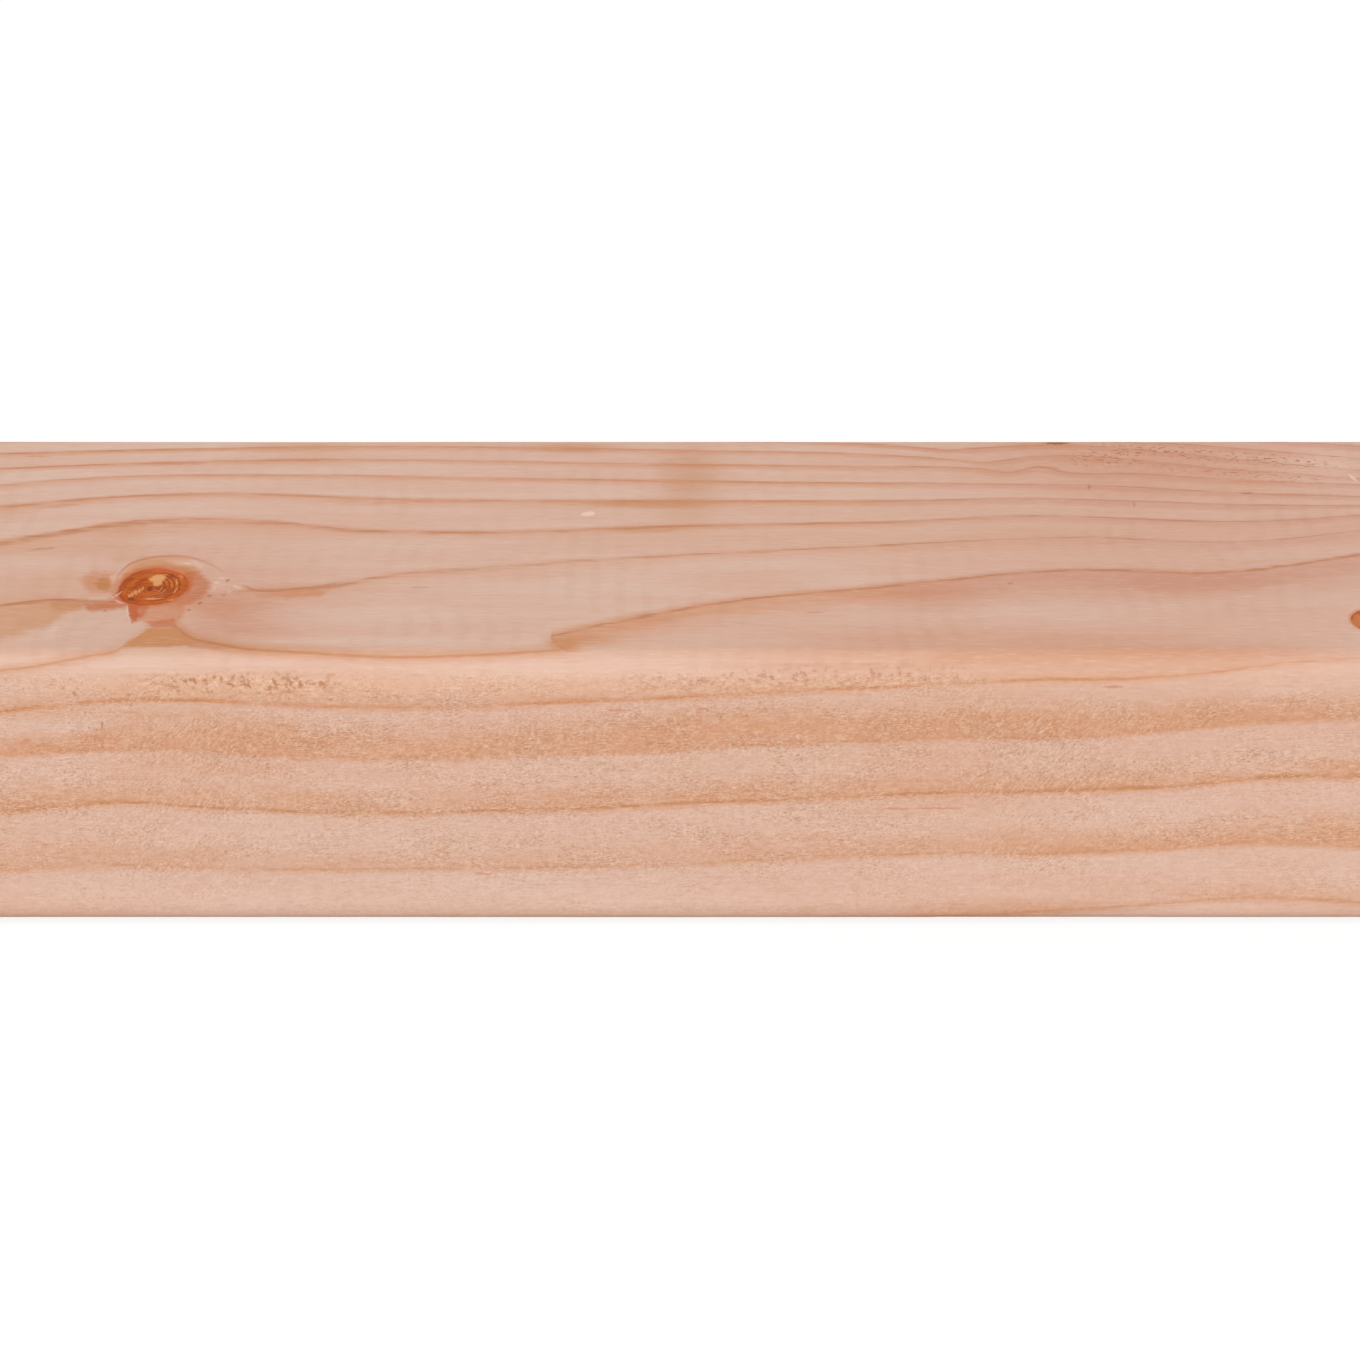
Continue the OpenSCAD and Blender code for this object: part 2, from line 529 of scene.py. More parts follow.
@dataclass(frozen=True)
class GrowthRings:
    """Years of growth round the pith, which runs above the top face and wanders along the plank.

    Each waver is a strength in years, a length and breadth in millimetres, and a seed. Near a knot the
    rings bulge by so many years, fading over so many half sizes.
    """

    pith_behind: float = 14.0
    pith_above: float = 34.0
    wander_behind: float = 6.0
    wander_above: float = 9.0
    wander_length: float = 900.0
    wander_slower: float = 0.7
    first_radius: float = 34.6
    ring_width: float = 8.07
    narrowing: float = 0.0041
    wavers: tuple[tuple[float, float, float, int], ...] = ((0.7, 120.0, 30.0, 3), (0.25, 35.0, 12.0, 4))
    bulge: float = 1.1
    bulge_reach: float = 1.5
    rows_past_first: float = 12.0
    least_rows: float = 0.05
    view: Viewpoint = field(default_factory=Viewpoint)

    def pith(self, x: np.ndarray, plank: Section) -> tuple[np.ndarray, np.ndarray]:
        """Place of the pith: straight, plus a sine of the way along the plank on each axis.

        Args:
            x: Places along the plank.
            plank: Section that the pith is measured from.

        Returns:
            The pith's y and z at each place.
        """
        turn = 2 * math.pi * x / self.wander_length
        y = -plank.width / 2 + self.pith_behind + self.wander_behind * np.sin(self.wander_slower * turn)
        return y, plank.thickness + self.pith_above - self.wander_above * np.sin(turn)

    def natural_year(self, points: np.ndarray, plank: Section) -> np.ndarray:
        """Year of growth of undisturbed wood: distance from the pith over a ring width that narrows.

        Slow noise makes the rings waver, and near a knot they bulge outwards.

        Args:
            points: Places in millimetres.
            plank: Section of the plank.

        Returns:
            Years, whole numbers being the dark lines.
        """
        y, z = self.pith(points[..., 0], plank)
        beyond = np.hypot(points[..., 1] - y, points[..., 2] - z) - self.first_radius
        year = beyond / self.ring_width * (1.0 + self.narrowing * beyond)
        for strength, length, breadth, seed in self.wavers:
            year += strength * (lattice_noise(points, length, breadth, seed) - 0.5)
        for knot in KNOTS:
            away = np.linalg.norm(knot.reach(points, self, plank), axis=-1)
            year -= self.bulge * np.exp(-away / self.bulge_reach)
        return year

    def traced(self, column: np.ndarray, row: np.ndarray) -> np.ndarray:
        """Growth between the traced lines: straight from each line to the next one down.

        Args:
            column: Pixel columns.
            row: Pixel rows.

        Returns:
            Years at those pixels and how boldly the lines show there, on a first axis of two.
        """
        rows = [trace.row(column) for trace in TRACES]
        known = [np.stack([trace.year(column), along(trace.bold, column)]) for trace in TRACES]
        growth = known[0] + np.stack([(rows[0] - row) / self.rows_past_first, np.zeros(row.shape)])
        for upper in range(len(TRACES) - 1):
            lower_row = np.maximum(rows[upper + 1], rows[upper] + self.least_rows)
            share = np.clip((row - rows[upper]) / (lower_row - rows[upper]), 0.0, 1.0)
            here = known[upper] + share * (known[upper + 1] - known[upper])
            growth = np.where(row >= rows[upper], here, growth)
            rows[upper + 1] = lower_row
        return growth


# The wide and the narrow face whose looks are in the table.
FACES = (Side.TOP, Side.FRONT)

# Pixel rows below this number lie on the back edge, behind the outline.
ABOVE_PLANK = 400.0

# Pixels past which the distance from a drawn line or a patch no longer matters.
FARTHEST = 30.0


class Tone(Enum):
    """A colour that tints the wood, as sRGB from 0 to 255, or painted light where noted."""

    RESIN = (203, 139, 93)
    OCHRE = (192, 126, 72)
    TAN = (210, 155, 119)
    BLUSH = (201, 128, 94)
    ROSE = (206, 130, 88)
    EMBER = (193, 106, 62)
    RED = (190, 84, 30)
    PALE = (216, 179, 159)
    # Paler wood, and painted light where noted.
    PALE_AND_PAINTED_LIGHT = (231, 197, 178)
    HALO = (209, 148, 106)
    # Painted light: a paler band along the front face just under the eased arris.
    GLOW = (237, 189, 157)
    MILK = (214, 190, 177)


@dataclass(frozen=True)
class Stain:
    """A soft blot, placed by the pixel of its middle and its half sizes in pixels."""

    tone: Tone
    strength: float
    middle: Span
    half: Span

    def cover(self, column: np.ndarray, row: np.ndarray) -> np.ndarray:
        """Share of the wood that it covers: one over e to the cube of the distance in half sizes."""
        offset = [(at - middle) / half for at, middle, half in zip((column, row), self.middle, self.half)]
        return self.strength * np.exp(-(np.hypot(*offset) ** 3))


@dataclass(frozen=True)
class Patch:
    """A blot with straight sides: the inside of a convex outline of pixels, listed clockwise.

    soft is half the width of its edge and ragged how far that edge wavers, both in pixels.
    """

    tone: Tone
    strength: float
    outline: Points
    soft: float = 2.0
    ragged: float = 2.0

    def outside(self, column: np.ndarray, row: np.ndarray) -> np.ndarray:
        """Distance in pixels past the farthest of its sides, below zero inside, held within FARTHEST.

        Args:
            column: Pixel columns.
            row: Pixel rows.

        Returns:
            Distances.
        """
        beyond = np.full(column.shape, -FARTHEST)
        for (x0, y0), (x1, y1) in zip(self.outline, (*self.outline[1:], self.outline[0])):
            side = math.hypot(x1 - x0, y1 - y0)
            beyond = np.maximum(beyond, ((column - x0) * (y0 - y1) + (row - y0) * (x1 - x0)) / -side)
        return np.minimum(beyond, FARTHEST)


def stains(tone: Tone, *rows: tuple[float, ...]) -> tuple[Stain, ...]:
    """Stains of one tone, each given as its strength, middle column and row, and two half sizes."""
    return tuple(Stain(tone, row[0], row[1:3], row[3:5]) for row in rows)


# Blots with a soft edge that tint the wood, from the bottom layer to the top one; painted light where noted.
STAINS = (
    *stains(Tone.BLUSH, (0.22, 1240, 500, 330, 110), (0.30, 1140, 462, 110, 34), (0.20, 235, 592, 125, 52),
            (0.35, 925, 598, 62, 15), (0.20, 1080, 643, 300, 9), (0.14, 760, 455, 420, 16),
            (0.16, 1110, 588, 215, 20), (0.35, 238, 606, 46, 16), (0.35, 213, 605, 32, 13),
            (0.40, 225, 629, 66, 14), (0.30, 1240, 652, 140, 8)),
    *stains(Tone.TAN, (0.12, 1180, 462, 240, 26), (0.35, 55, 547, 95, 9), (0.45, 12, 597, 64, 7),
            (0.28, 820, 536, 330, 13), (0.22, 920, 510, 220, 8), (0.28, 720, 652, 170, 7),
            (0.40, 205, 766, 92, 14), (0.35, 200, 714, 80, 8), (0.45, 705, 716, 46, 8),
            (0.25, 900, 757, 150, 12), (0.30, 930, 808, 150, 14), (0.40, 1010, 906, 110, 9),
            (0.40, 300, 462, 70, 5), (0.35, 132, 559, 24, 6), (0.30, 990, 706, 200, 16),
            (0.40, 50, 713, 130, 9), (0.30, 250, 686, 110, 10), (0.30, 60, 583, 80, 12),
            (0.30, 205, 680, 75, 14), (0.28, 1020, 837, 75, 13), (0.18, 1290, 893, 110, 10),
            (0.25, 690, 768, 110, 14), (0.50, 1350, 830, 70, 17), (0.45, 118, 534, 30, 9),
            (0.30, 1240, 486, 40, 14)),
    *stains(Tone.ROSE, (0.25, 960, 640, 260, 22), (0.14, 250, 530, 190, 12), (0.20, 750, 583, 80, 14)),
    *stains(Tone.RESIN, (0.75, 562, 642, 17, 8), (0.40, 590, 641, 26, 8), (0.34, 1090, 660, 250, 15),
            (0.15, 820, 664, 150, 10), (0.25, 270, 651, 300, 7), (0.80, 652, 503.5, 80, 3.6),
            (0.62, 640, 529, 42, 4), (0.55, 1044, 445, 40, 5), (0.40, 300, 448, 60, 6),
            (0.30, 1000, 470, 40, 6)),
    *stains(Tone.OCHRE, (0.36, 690, 470, 34, 26), (0.22, 686, 507, 34, 26), (0.50, 572, 448, 44, 5),
            (0.35, 70, 605, 24, 5), (0.35, 34, 622, 20, 5)),
    # Painted light: a paler band along the front face just under the eased arris.
    *stains(Tone.GLOW, (0.50, 400, 684, 460, 12), (0.25, 1050, 680, 330, 9)),
    # The stains at rows 900 and 909 are painted light on the rounded lower front edge, which the lamps leave
    # darker.
    *stains(Tone.PALE_AND_PAINTED_LIGHT, (0.12, 300, 662, 330, 9), (0.45, 620, 672, 140, 9), (0.28, 1310, 683, 110, 14),
            # The other stains of this tone make the wood paler.
            (0.40, 400, 900, 450, 15), (0.45, 1328, 463, 42, 14), (0.28, 475, 675, 80, 17),
            (0.60, 1250, 909, 120, 6)),
    *stains(Tone.MILK, (0.30, 450, 866, 430, 60)),
)

# Patches with a clear outline, most of them round the knot, from the bottom layer to the top one.
PATCHES = (
    Patch(Tone.TAN, 0.80, ((-90, 610), (0, 605), (62, 600), (80, 606), (68, 617), (40, 629), (0, 641),
                           (-90, 655)), 6.0, 9.0),
    Patch(Tone.OCHRE, 0.40, ((48, 601), (62, 600), (88, 604), (78, 610), (58, 611)), 4.0, 7.0),
    Patch(Tone.PALE, 0.75, ((62, 614), (90, 609), (125, 606), (133, 624), (136, 634), (120, 646), (88, 651),
                            (50, 648)), 2.0, 6.0),
    Patch(Tone.PALE, 0.70, ((130, 618), (151, 626), (146, 629), (136, 634), (128, 628)), 1.2, 3.0),
    Patch(Tone.PALE, 0.55, ((86, 596), (104, 593), (111, 596), (100, 602), (90, 602.5)), 2.0, 4.0),
    Patch(Tone.EMBER, 0.80, ((84, 604), (112, 599), (128, 602.5), (128, 607), (104, 610), (88, 611)),
          3.2, 6.0),
    Patch(Tone.ROSE, 0.60, ((80, 579), (92, 571), (114, 571), (119, 581), (113, 593), (92, 594)), 5.0, 8.0),
    Patch(Tone.OCHRE, 0.85, ((95, 581), (103, 577), (109, 578.5), (110, 586), (106, 591), (98, 590)),
          2.4, 6.0),
    Patch(Tone.PALE_AND_PAINTED_LIGHT, 0.50, ((109, 576), (116, 573), (118, 579), (113, 583)), 1.8, 3.0),
    Patch(Tone.HALO, 0.88, ((121, 580), (122, 573), (130, 565), (140, 561), (152, 558.5), (171, 557),
                            (186, 558), (194, 562), (197, 569), (190, 590), (124, 592)), 3.0, 2.0),
    Patch(Tone.EMBER, 0.45, ((120, 584), (125, 574), (135, 568), (150, 565.5), (172, 564.5), (186, 567),
                             (194, 574), (190, 590), (124, 592)), 2.6, 3.0),
    # Painted glint on the knot's brow.
    Patch(Tone.PALE_AND_PAINTED_LIGHT, 0.55, ((162, 559), (196, 560.5), (203, 566), (178, 564.5)), 2.0, 2.0),
    Patch(Tone.EMBER, 0.74, ((186, 571), (198, 569), (211, 584), (204, 598), (184, 606), (166, 605)),
          4.0, 7.0),
    Patch(Tone.PALE_AND_PAINTED_LIGHT, 0.10, ((212, 578), (236, 576), (242, 589), (228, 598), (213, 595)), 4.0, 8.0),
    Patch(Tone.ROSE, 0.62, ((246, 590.5), (290, 589.5), (335, 583.5), (322, 596), (290, 598), (258, 597)),
          2.6, 6.0),
    Patch(Tone.ROSE, 0.66, ((138, 604), (190, 599), (184, 614), (176, 625), (148, 626), (136, 616)),
          4.0, 6.0),
    Patch(Tone.RED, 0.50, ((148, 622), (174, 618), (177, 627), (152, 628)), 1.6, 4.0),
    Patch(Tone.RED, 0.55, ((128, 602.5), (150, 602), (147, 611), (140, 620), (132, 621), (129, 613)),
          2.6, 5.0),
    Patch(Tone.RED, 0.74, ((127, 602.5), (137, 603.5), (138.5, 613), (136.5, 621), (132, 622),
                           (128.5, 613)), 1.5, 5.0),
    Patch(Tone.BLUSH, 0.18, ((1130, 575), (1240, 575), (1285, 583), (1250, 591), (1180, 595),
                             (1135, 590)), 4.0, 8.0),
    # Painted highlight of the eased front arris, where it catches the light: a paler band just below it.
    Patch(Tone.PALE_AND_PAINTED_LIGHT, 0.16, ((580, 650), (700, 649.5), (940, 650.5), (930, 664), (700, 662), (590, 658)),
          1.6, 1.0),
    Patch(Tone.RED, 0.60, ((111, 597), (120, 588), (126, 602)), 1.2, 3.0),
    Patch(Tone.BLUSH, 0.55, ((184, 635), (205, 641.5), (225, 644.5), (243, 649), (215, 649), (188, 647)),
          1.4, 2.0),
    Patch(Tone.RESIN, 0.97, ((118, 647.5), (132, 638.5), (140, 632.5), (150, 627.5), (174, 626.5),
                             (181, 631.5), (192, 640), (197, 645.5)), 1.8, 3.0),
)


@dataclass(frozen=True)
class Mark:
    """A small crisp ellipse: its middle and half sizes in pixels, and its clockwise turn in degrees."""

    kind: MarkKind
    column: float
    row: float
    wide: float
    high: float
    strength: float = 0.8
    turn: float = 0.0


def marks(kind: MarkKind, *rows: tuple[float, ...]) -> tuple[Mark, ...]:
    """Marks of one kind, each given as its middle, two half sizes and, where needed, strength and turn."""
    return tuple(Mark(kind, *row) for row in rows)


MARKS = (
    *marks(MarkKind.CHIP, (157.5, 577.2, 9.5, 3.4, 0.95, -8), (157.5, 580.8, 5.5, 3.6, 0.9),
           (129.5, 595.2, 1.4, 2.4, 0.7, 20), (132.7, 593.4, 1.4, 2.6, 0.75, 20),
           (136, 591.6, 1.5, 2.6, 0.8, 20), (139.4, 589.4, 1.4, 2.4, 0.75, 20),
           (142.8, 587.2, 1.4, 2.2, 0.7, 20), (153.5, 597.8, 10.5, 1.1, 0.75),
           (171, 598.6, 3.5, 1.0, 0.5, -15), (176.5, 581, 1.0, 4.0, 0.55, -12),
           (175.5, 590, 1.0, 3.6, 0.6, 35), (181, 576, 3.2, 1.1, 0.45, 40)),
    *marks(MarkKind.PIT, (150, 587, 3.2, 2.8, 0.85), (158, 586.5, 2.2, 1.4, 0.6),
           (162, 589, 1.8, 1.3, 0.55), (166, 586.5, 1.4, 2.2, 0.5), (171, 574.5, 3.8, 2.0, 0.5, -30),
           (131, 598.5, 4.0, 1.7, 0.65, 15), (141, 580, 7.0, 0.9, 0.4, -25),
           (137, 584.5, 8.0, 0.9, 0.4, -25), (133, 588, 5.0, 0.8, 0.35, -25),
           (124, 585.5, 2.4, 6.0, 0.35, 20), (131, 578.5, 6.0, 1.0, 0.4, -25),
           (145, 572.5, 7.0, 1.0, 0.35, -12)),
    *marks(MarkKind.DARK, (1056, 442.5, 15, 1.7, 0.8), (420, 587, 12, 0.8, 0.25), (815, 612, 10, 0.8, 0.22),
           (1010, 583, 3, 1.2, 0.35), (42, 548.5, 15, 1.1, 0.30, -4)),
    *marks(MarkKind.SPECK, (1247.5, 493, 6, 1.1, 0.5), (1089, 487, 1.6, 2.6, 0.5, 25),
           (1134, 504, 1.4, 3.0, 0.4), (228, 580, 2.2, 1.5, 0.6), (209, 595.5, 2.8, 1.2, 0.6, -20),
           (224, 595.2, 1.9, 1.1, 0.5), (200, 603, 2.6, 1.2, 0.6, -20), (195, 606, 1.8, 1.0, 0.45),
           (189, 609.7, 2.4, 1.2, 0.55, -20), (179, 616.5, 1.8, 1.0, 0.4), (105.5, 610, 1.4, 1.0, 0.5)),
    *marks(MarkKind.PALE, (586, 513.8, 5, 2.0, 1.0), (590, 513.2, 5.5, 2.4, 1.0), (217, 582, 3.0, 1.6, 0.5),
           (222, 577.5, 3.2, 1.0, 0.5), (230, 591, 2.4, 1.2, 0.35), (214, 588, 2.6, 1.0, 0.4),
           # The mark at column 187, row 562.8 is a painted glint on the knot's brow.
           (237, 586.5, 4.4, 1.6, 0.6, 15), (187, 562.8, 5.0, 1.3, 0.6, 10), (117, 594, 7.0, 0.9, 0.5, -35),
           (119.5, 601.5, 5.0, 0.8, 0.5, 20), (127.5, 611, 0.9, 7.5, 0.55, -8),
           (1353, 477.5, 6.0, 1.7, 0.7, 40), (118, 841, 1.3, 4.5, 0.6, 45)),
    *marks(MarkKind.ORANGE, (1357, 620, 5.5, 8.0, 0.5)),
    *marks(MarkKind.RED, (60, 505.5, 24, 2.0, 0.35, -5), (38, 456, 15, 1.2, 0.4), (172, 463, 34, 1.9, 0.4),
           (300, 459, 38, 1.3, 0.4), (1050, 467.5, 13, 1.5, 0.55, 3), (1262, 481, 42, 1.6, 0.4),
           (1300, 494.5, 50, 1.2, 0.4), (1096, 459.5, 12, 1.8, 0.4), (1170, 452.5, 40, 1.0, 0.25, 2),
           (484, 874, 10, 1.2, 0.6), (896, 809, 14, 1.2, 0.6), (938, 808.5, 26, 1.1, 0.6),
           (1113, 687, 11, 1.6, 0.6), (619, 710.5, 12, 1.4, 0.5), (702, 709.5, 6, 1.2, 0.5),
           (795, 741.5, 12, 1.6, 0.5), (25, 742, 7, 3.0, 0.5, -15), (46, 745, 9, 2.4, 0.45, -10),
           (96, 737, 10, 3.0, 0.35), (300, 760, 14, 1.4, 0.45, 5)),
    *marks(MarkKind.TICK, (194, 680, 2.6, 2.4, 0.8, 40), (205, 681, 3.2, 1.7, 0.8, 20),
           (207, 684.5, 2.4, 1.5, 0.7), (214, 677.5, 2.2, 2.2, 0.8, 45), (221, 679, 1.8, 2.8, 0.8, -15),
           (242, 677.5, 3.0, 1.4, 0.7, 25), (248, 681, 2.4, 1.4, 0.6, 30), (274, 682, 1.6, 4.0, 0.85, -12),
           (276, 688, 2.6, 1.6, 0.65, -25), (286, 685, 1.4, 3.2, 0.6, 10), (300, 684, 1.7, 3.6, 0.75, 8),
           (321, 684, 2.8, 2.6, 0.8, 45), (324, 688, 2.0, 1.6, 0.65), (175, 681.5, 2.2, 1.3, 0.65),
           (178, 691, 2.2, 1.5, 0.6, 30), (212, 692, 2.0, 1.4, 0.6), (230, 697, 1.6, 2.2, 0.6),
           (102, 726, 1.6, 4.4, 0.8, 5), (75, 694, 1.6, 3.4, 0.7), (62.5, 689, 1.4, 1.2, 0.6),
           (105, 689, 1.4, 1.3, 0.6), (129, 695, 2.0, 1.4, 0.7), (127, 685, 1.5, 1.1, 0.6),
           (196, 699.5, 2.2, 1.3, 0.7), (289, 699, 1.5, 1.5, 0.7), (331, 700, 2.0, 1.3, 0.7),
           (240, 692, 1.4, 2.0, 0.6), (250, 687, 2.0, 1.5, 0.65)),
)


@dataclass(frozen=True)
class Zone:
    """A soft area of the picture, placed by the pixel of its middle and its half sizes in pixels.

    slant is how far it drops for each pixel across, and power says how flat it is across.
    """

    share: float
    middle: Span
    half: Span
    slant: float = 0.0
    power: int = 4

    def cover(self, column: np.ndarray, row: np.ndarray) -> np.ndarray:
        """Spreads the share over the pixels: one bell across times another down.

        Args:
            column: Pixel columns.
            row: Pixel rows.

        Returns:
            The share at each pixel.
        """
        bent = row - self.slant * (column - self.middle[0])
        across = bell(self.middle[0], self.half[0], self.power, column)
        return self.share * across * bell(self.middle[1], self.half[1], 2, bent)


# Where the planer tore the fibres: at the back right, and just below the front arris.
TORN = (
    Zone(1.0, (1225, 455.6), (110, 5), 0.08), Zone(0.9, (1105, 457), (34, 8)),
    Zone(0.5, (1240, 472.8), (90, 5), 0.08), Zone(0.9, (245, 684), (95, 9)),
    Zone(0.5, (800, 677), (160, 8), -0.03),
)

# Beside the knot the year lines don't show.
BY_KNOT = Zone(0.9, (205, 596), (42, 12), power=2)

# How fuzzy the narrow faces are, by pixel row.
FUZZ_ROWS = ((660, 0.0), (674, 0.75), (705, 0.8), (730, 1.0), (830, 0.9), (868, 0.7), (884, 0.45),
             (917, 0.3), (1100, 0.8))

# How a year's end looks on the sawn ends.
END_LOOK = {"starts": 0.55, "tan": 1.0, "crisp": 0.8, "thin": 0.09}


@dataclass
class PlankSurface:
    """The whole board as one closed grid: the section's walk by columns along the grain, and two ends.

    Columns, reaches and depths are in millimetres. A hidden side has so many pixel rows for each
    millimetre past the outline, and lets go of the traced lines over the given span.
    """

    section: Section
    length: float
    rings: GrowthRings
    coarse_column: float = 9.0
    knot_column: float = 1.3
    fine_column: float = 0.95
    finest_column: float = 0.33
    column_samples: int = 24001
    photographed_half: float = 99.0
    coarsening: float = 60.0
    tongue_tip: float = -15.8
    tip_reach: float = 4.0
    knot_reach: float = 3.2
    under_rows: float = 7.0
    under_lets_go: Span = (1.0, 26.0)
    back_rows: float = 3.0
    back_lets_go: Span = (1.0, 20.0)
    beside_lets_go: Span = (PICTURE / 2 + 15.0, PICTURE / 2 + 640.0)
    farthest_knot: float = 9.0
    skin: float = 0.02
    spring_sinks: float = 0.03
    fuzz_depth: float = 0.08
    wave_depth: float = 0.04
    torn_depth: float = 0.22
    hollow_depth: float = 0.20
    groove_depth: float = 0.10
    sharp_from: float = math.radians(38.0)
    end_break: float = 0.25
    end_core: float = 19.0
    end_rings: tuple[float, ...] = (0.92, 0.80, 0.68, 0.56, 0.44, 0.32, 0.20, 0.10)
    end_drift_power: int = 8
    map_long: float = 0.9
    map_end: tuple[Span, Span] = ((0.25, 0.46), (0.915, 0.08))

    def columns(self) -> np.ndarray:
        """Places along the grain: equal steps of the running sum of one over the wanted spacing.

        Returns:
            The x of each column, from the left end to the right end.
        """
        half = self.length / 2 - self.end_break
        fine = np.linspace(-half, half, self.column_samples)
        into = smoothstep(self.photographed_half, self.photographed_half + self.coarsening, np.abs(fine))
        spacing = self.fine_column + (self.coarse_column - self.fine_column) * into
        busy = [(self.tongue_tip, self.tip_reach, self.finest_column)]
        for knot in KNOTS:
            wanted = self.finest_column if abs(knot.along) < self.photographed_half else self.knot_column
            busy.append((knot.along, self.knot_reach * knot.half_along, wanted))
        for place, reach, wanted in busy:
            spacing = spacing + (np.minimum(wanted, spacing) - spacing) * bell(place, reach, 4, fine)
        count = np.concatenate([[0.0], np.cumsum(np.diff(fine) / spacing[1:])])
        return np.interp(np.linspace(0.0, count[-1], round(count[-1]) + 1), count, fine)

    def picture_rows(self, points: np.ndarray, stretch: np.ndarray) -> tuple[np.ndarray, np.ndarray]:
        """Pixel row of each point of the section, unrolled past the outline on the hidden sides.

        Args:
            points: The section's points.
            stretch: Stretch number of each point.

        Returns:
            Pixel rows, and how firmly the traced lines hold there, from 1 in sight to 0.
        """
        middle = np.concatenate([np.zeros((len(points), 1)), points], axis=1)
        row = self.rings.view.project(middle)[1]
        step = np.linalg.norm(np.diff(points, axis=0, append=points[:1]), axis=1)
        walked = np.concatenate([[0.0], np.cumsum(step)[:-1]])
        under = stretch >= Side.UNDERSIDE.value
        behind = stretch > Side.BACK.value - 0.5
        past_low = walked - walked[under][0]
        past_back = step.sum() - walked
        row = np.where(under, row[under][0] + self.under_rows * past_low, row)
        row = np.where(behind, row[0] - self.back_rows * past_back, row)
        hold = np.where(under, smoothstep(*reversed(self.under_lets_go), past_low), 1.0)
        return row, np.where(behind, smoothstep(*reversed(self.back_lets_go), past_back), hold)

    def grow(self, points: np.ndarray, column: np.ndarray, row: np.ndarray, hold: np.ndarray) -> np.ndarray:
        """Growth on the long sides: the traced one in sight, easing to the natural one beyond.

        Args:
            points: Grid of places in millimetres.
            column: Pixel columns of the grid.
            row: Pixel rows of the grid.
            hold: How firmly the traced lines hold on each row of the section.

        Returns:
            Years on the grid and how boldly the lines show, on a first axis of two.
        """
        hold = hold * smoothstep(*reversed(self.beside_lets_go), np.abs(column - PICTURE / 2))
        natural = self.rings.natural_year(points, self.section)
        natural = np.stack([natural, np.ones(natural.shape)])
        return natural + hold * (self.rings.traced(column, row) - natural)

    def paint_stains_and_light(self, column: np.ndarray, row: np.ndarray) -> np.ndarray:
        """Lays the stains and painted light over each other, each hiding its own share of what lies below
        it.

        Args:
            column: Pixel columns of the grid.
            row: Pixel rows of the grid.

        Returns:
            Grid of linear red, green and blue, already multiplied by the share covered, and that share.
        """
        paint = np.zeros(column.shape + (4,))
        for stain in STAINS:
            share = stain.cover(column, row)[..., None]
            paint = paint * (1.0 - share) + np.array(linear(stain.tone.value)) * share
        return paint

    def looks(self, column: np.ndarray, row: np.ndarray, growth: np.ndarray,
              edge: np.ndarray) -> dict[str, np.ndarray]:
        """Works out how each year's end looks at each place, from the tables for wide and narrow faces.

        Args:
            column: Pixel columns of the grid.
            row: Pixel rows of the grid.
            growth: Years on the grid and how boldly the lines show.
            edge: 1 on the narrow faces.

        Returns:
            Layers named starts, tan, crisp, thin, rosy and warm.
        """
        year, bold = growth
        layers = {}
        for name in ("starts", "tan", "crisp", "thin"):
            tables = [[(look.year, getattr(look, name)) for look in RING_LOOKS[side]] for side in FACES]
            wide, narrow = (along(table, year) for table in tables)
            layers[name] = wide + edge * (narrow - wide)
        in_front = row > ABOVE_PLANK
        sooner = 0.16 * smoothstep(620.0, 540.0, row) * smoothstep(700.0, 1150.0, column) * in_front
        layers["starts"] = layers["starts"] - sooner
        for last, later in LATER_STARTS.items():
            within = edge * between((last - 1.0, last - 0.85), (last, last + 0.1), year)
            layers["starts"] = layers["starts"] + within * along(later, column)
        layers["rosy"] = smoothstep(780.0, 1080.0, column) * smoothstep(650.0, 635.0, row) * in_front
        layers["warm"] = edge * smoothstep(1.3, 1.05, year)
        at_arris = between((566.0, 590.0), (1360.0, 1700.0), column) * bell(650.5, 7.0, 4, row)
        keep = (1.0 - at_arris) * (1.0 - BY_KNOT.cover(column, row))
        layers["tan"] = layers["tan"] * keep * np.sqrt(bold)
        layers["crisp"] = layers["crisp"] * keep * bold
        return layers

    @staticmethod
    def fuzz(column: np.ndarray, row: np.ndarray, year: np.ndarray, edge: np.ndarray) -> np.ndarray:
        """How fuzzy the narrow faces are: set by row, and calmer in the right of the picture.

        Args:
            column: Pixel columns of the grid.
            row: Pixel rows of the grid.
            year: Years of growth.
            edge: 1 on the narrow faces.

        Returns:
            Shares from 0 to 1.
        """
        far_right = (1500.0, 1800.0)
        below_first = row - 706.0 + 0.04 * (column - 1020.0)
        smooth = between((930.0, 1040.0), far_right, column) * smoothstep(2.0, -10.0, below_first)
        calm = between((1060.0, 1180.0), far_right, column) * smoothstep(0.6, 0.35, year - np.floor(year))
        return edge * along(FUZZ_ROWS, row) * (1.0 - 0.75 * smooth) * (1.0 - 0.5 * calm)

    @staticmethod
    def drawn(line: Trace, column: np.ndarray, row: np.ndarray) -> np.ndarray:
        """Distance in pixels from a drawn line: the rise above it, over the length of its slope."""
        here = line.row(column)
        return np.clip((row - here) / np.hypot(1.0, line.row(column + 1.0) - here), -FARTHEST, FARTHEST)

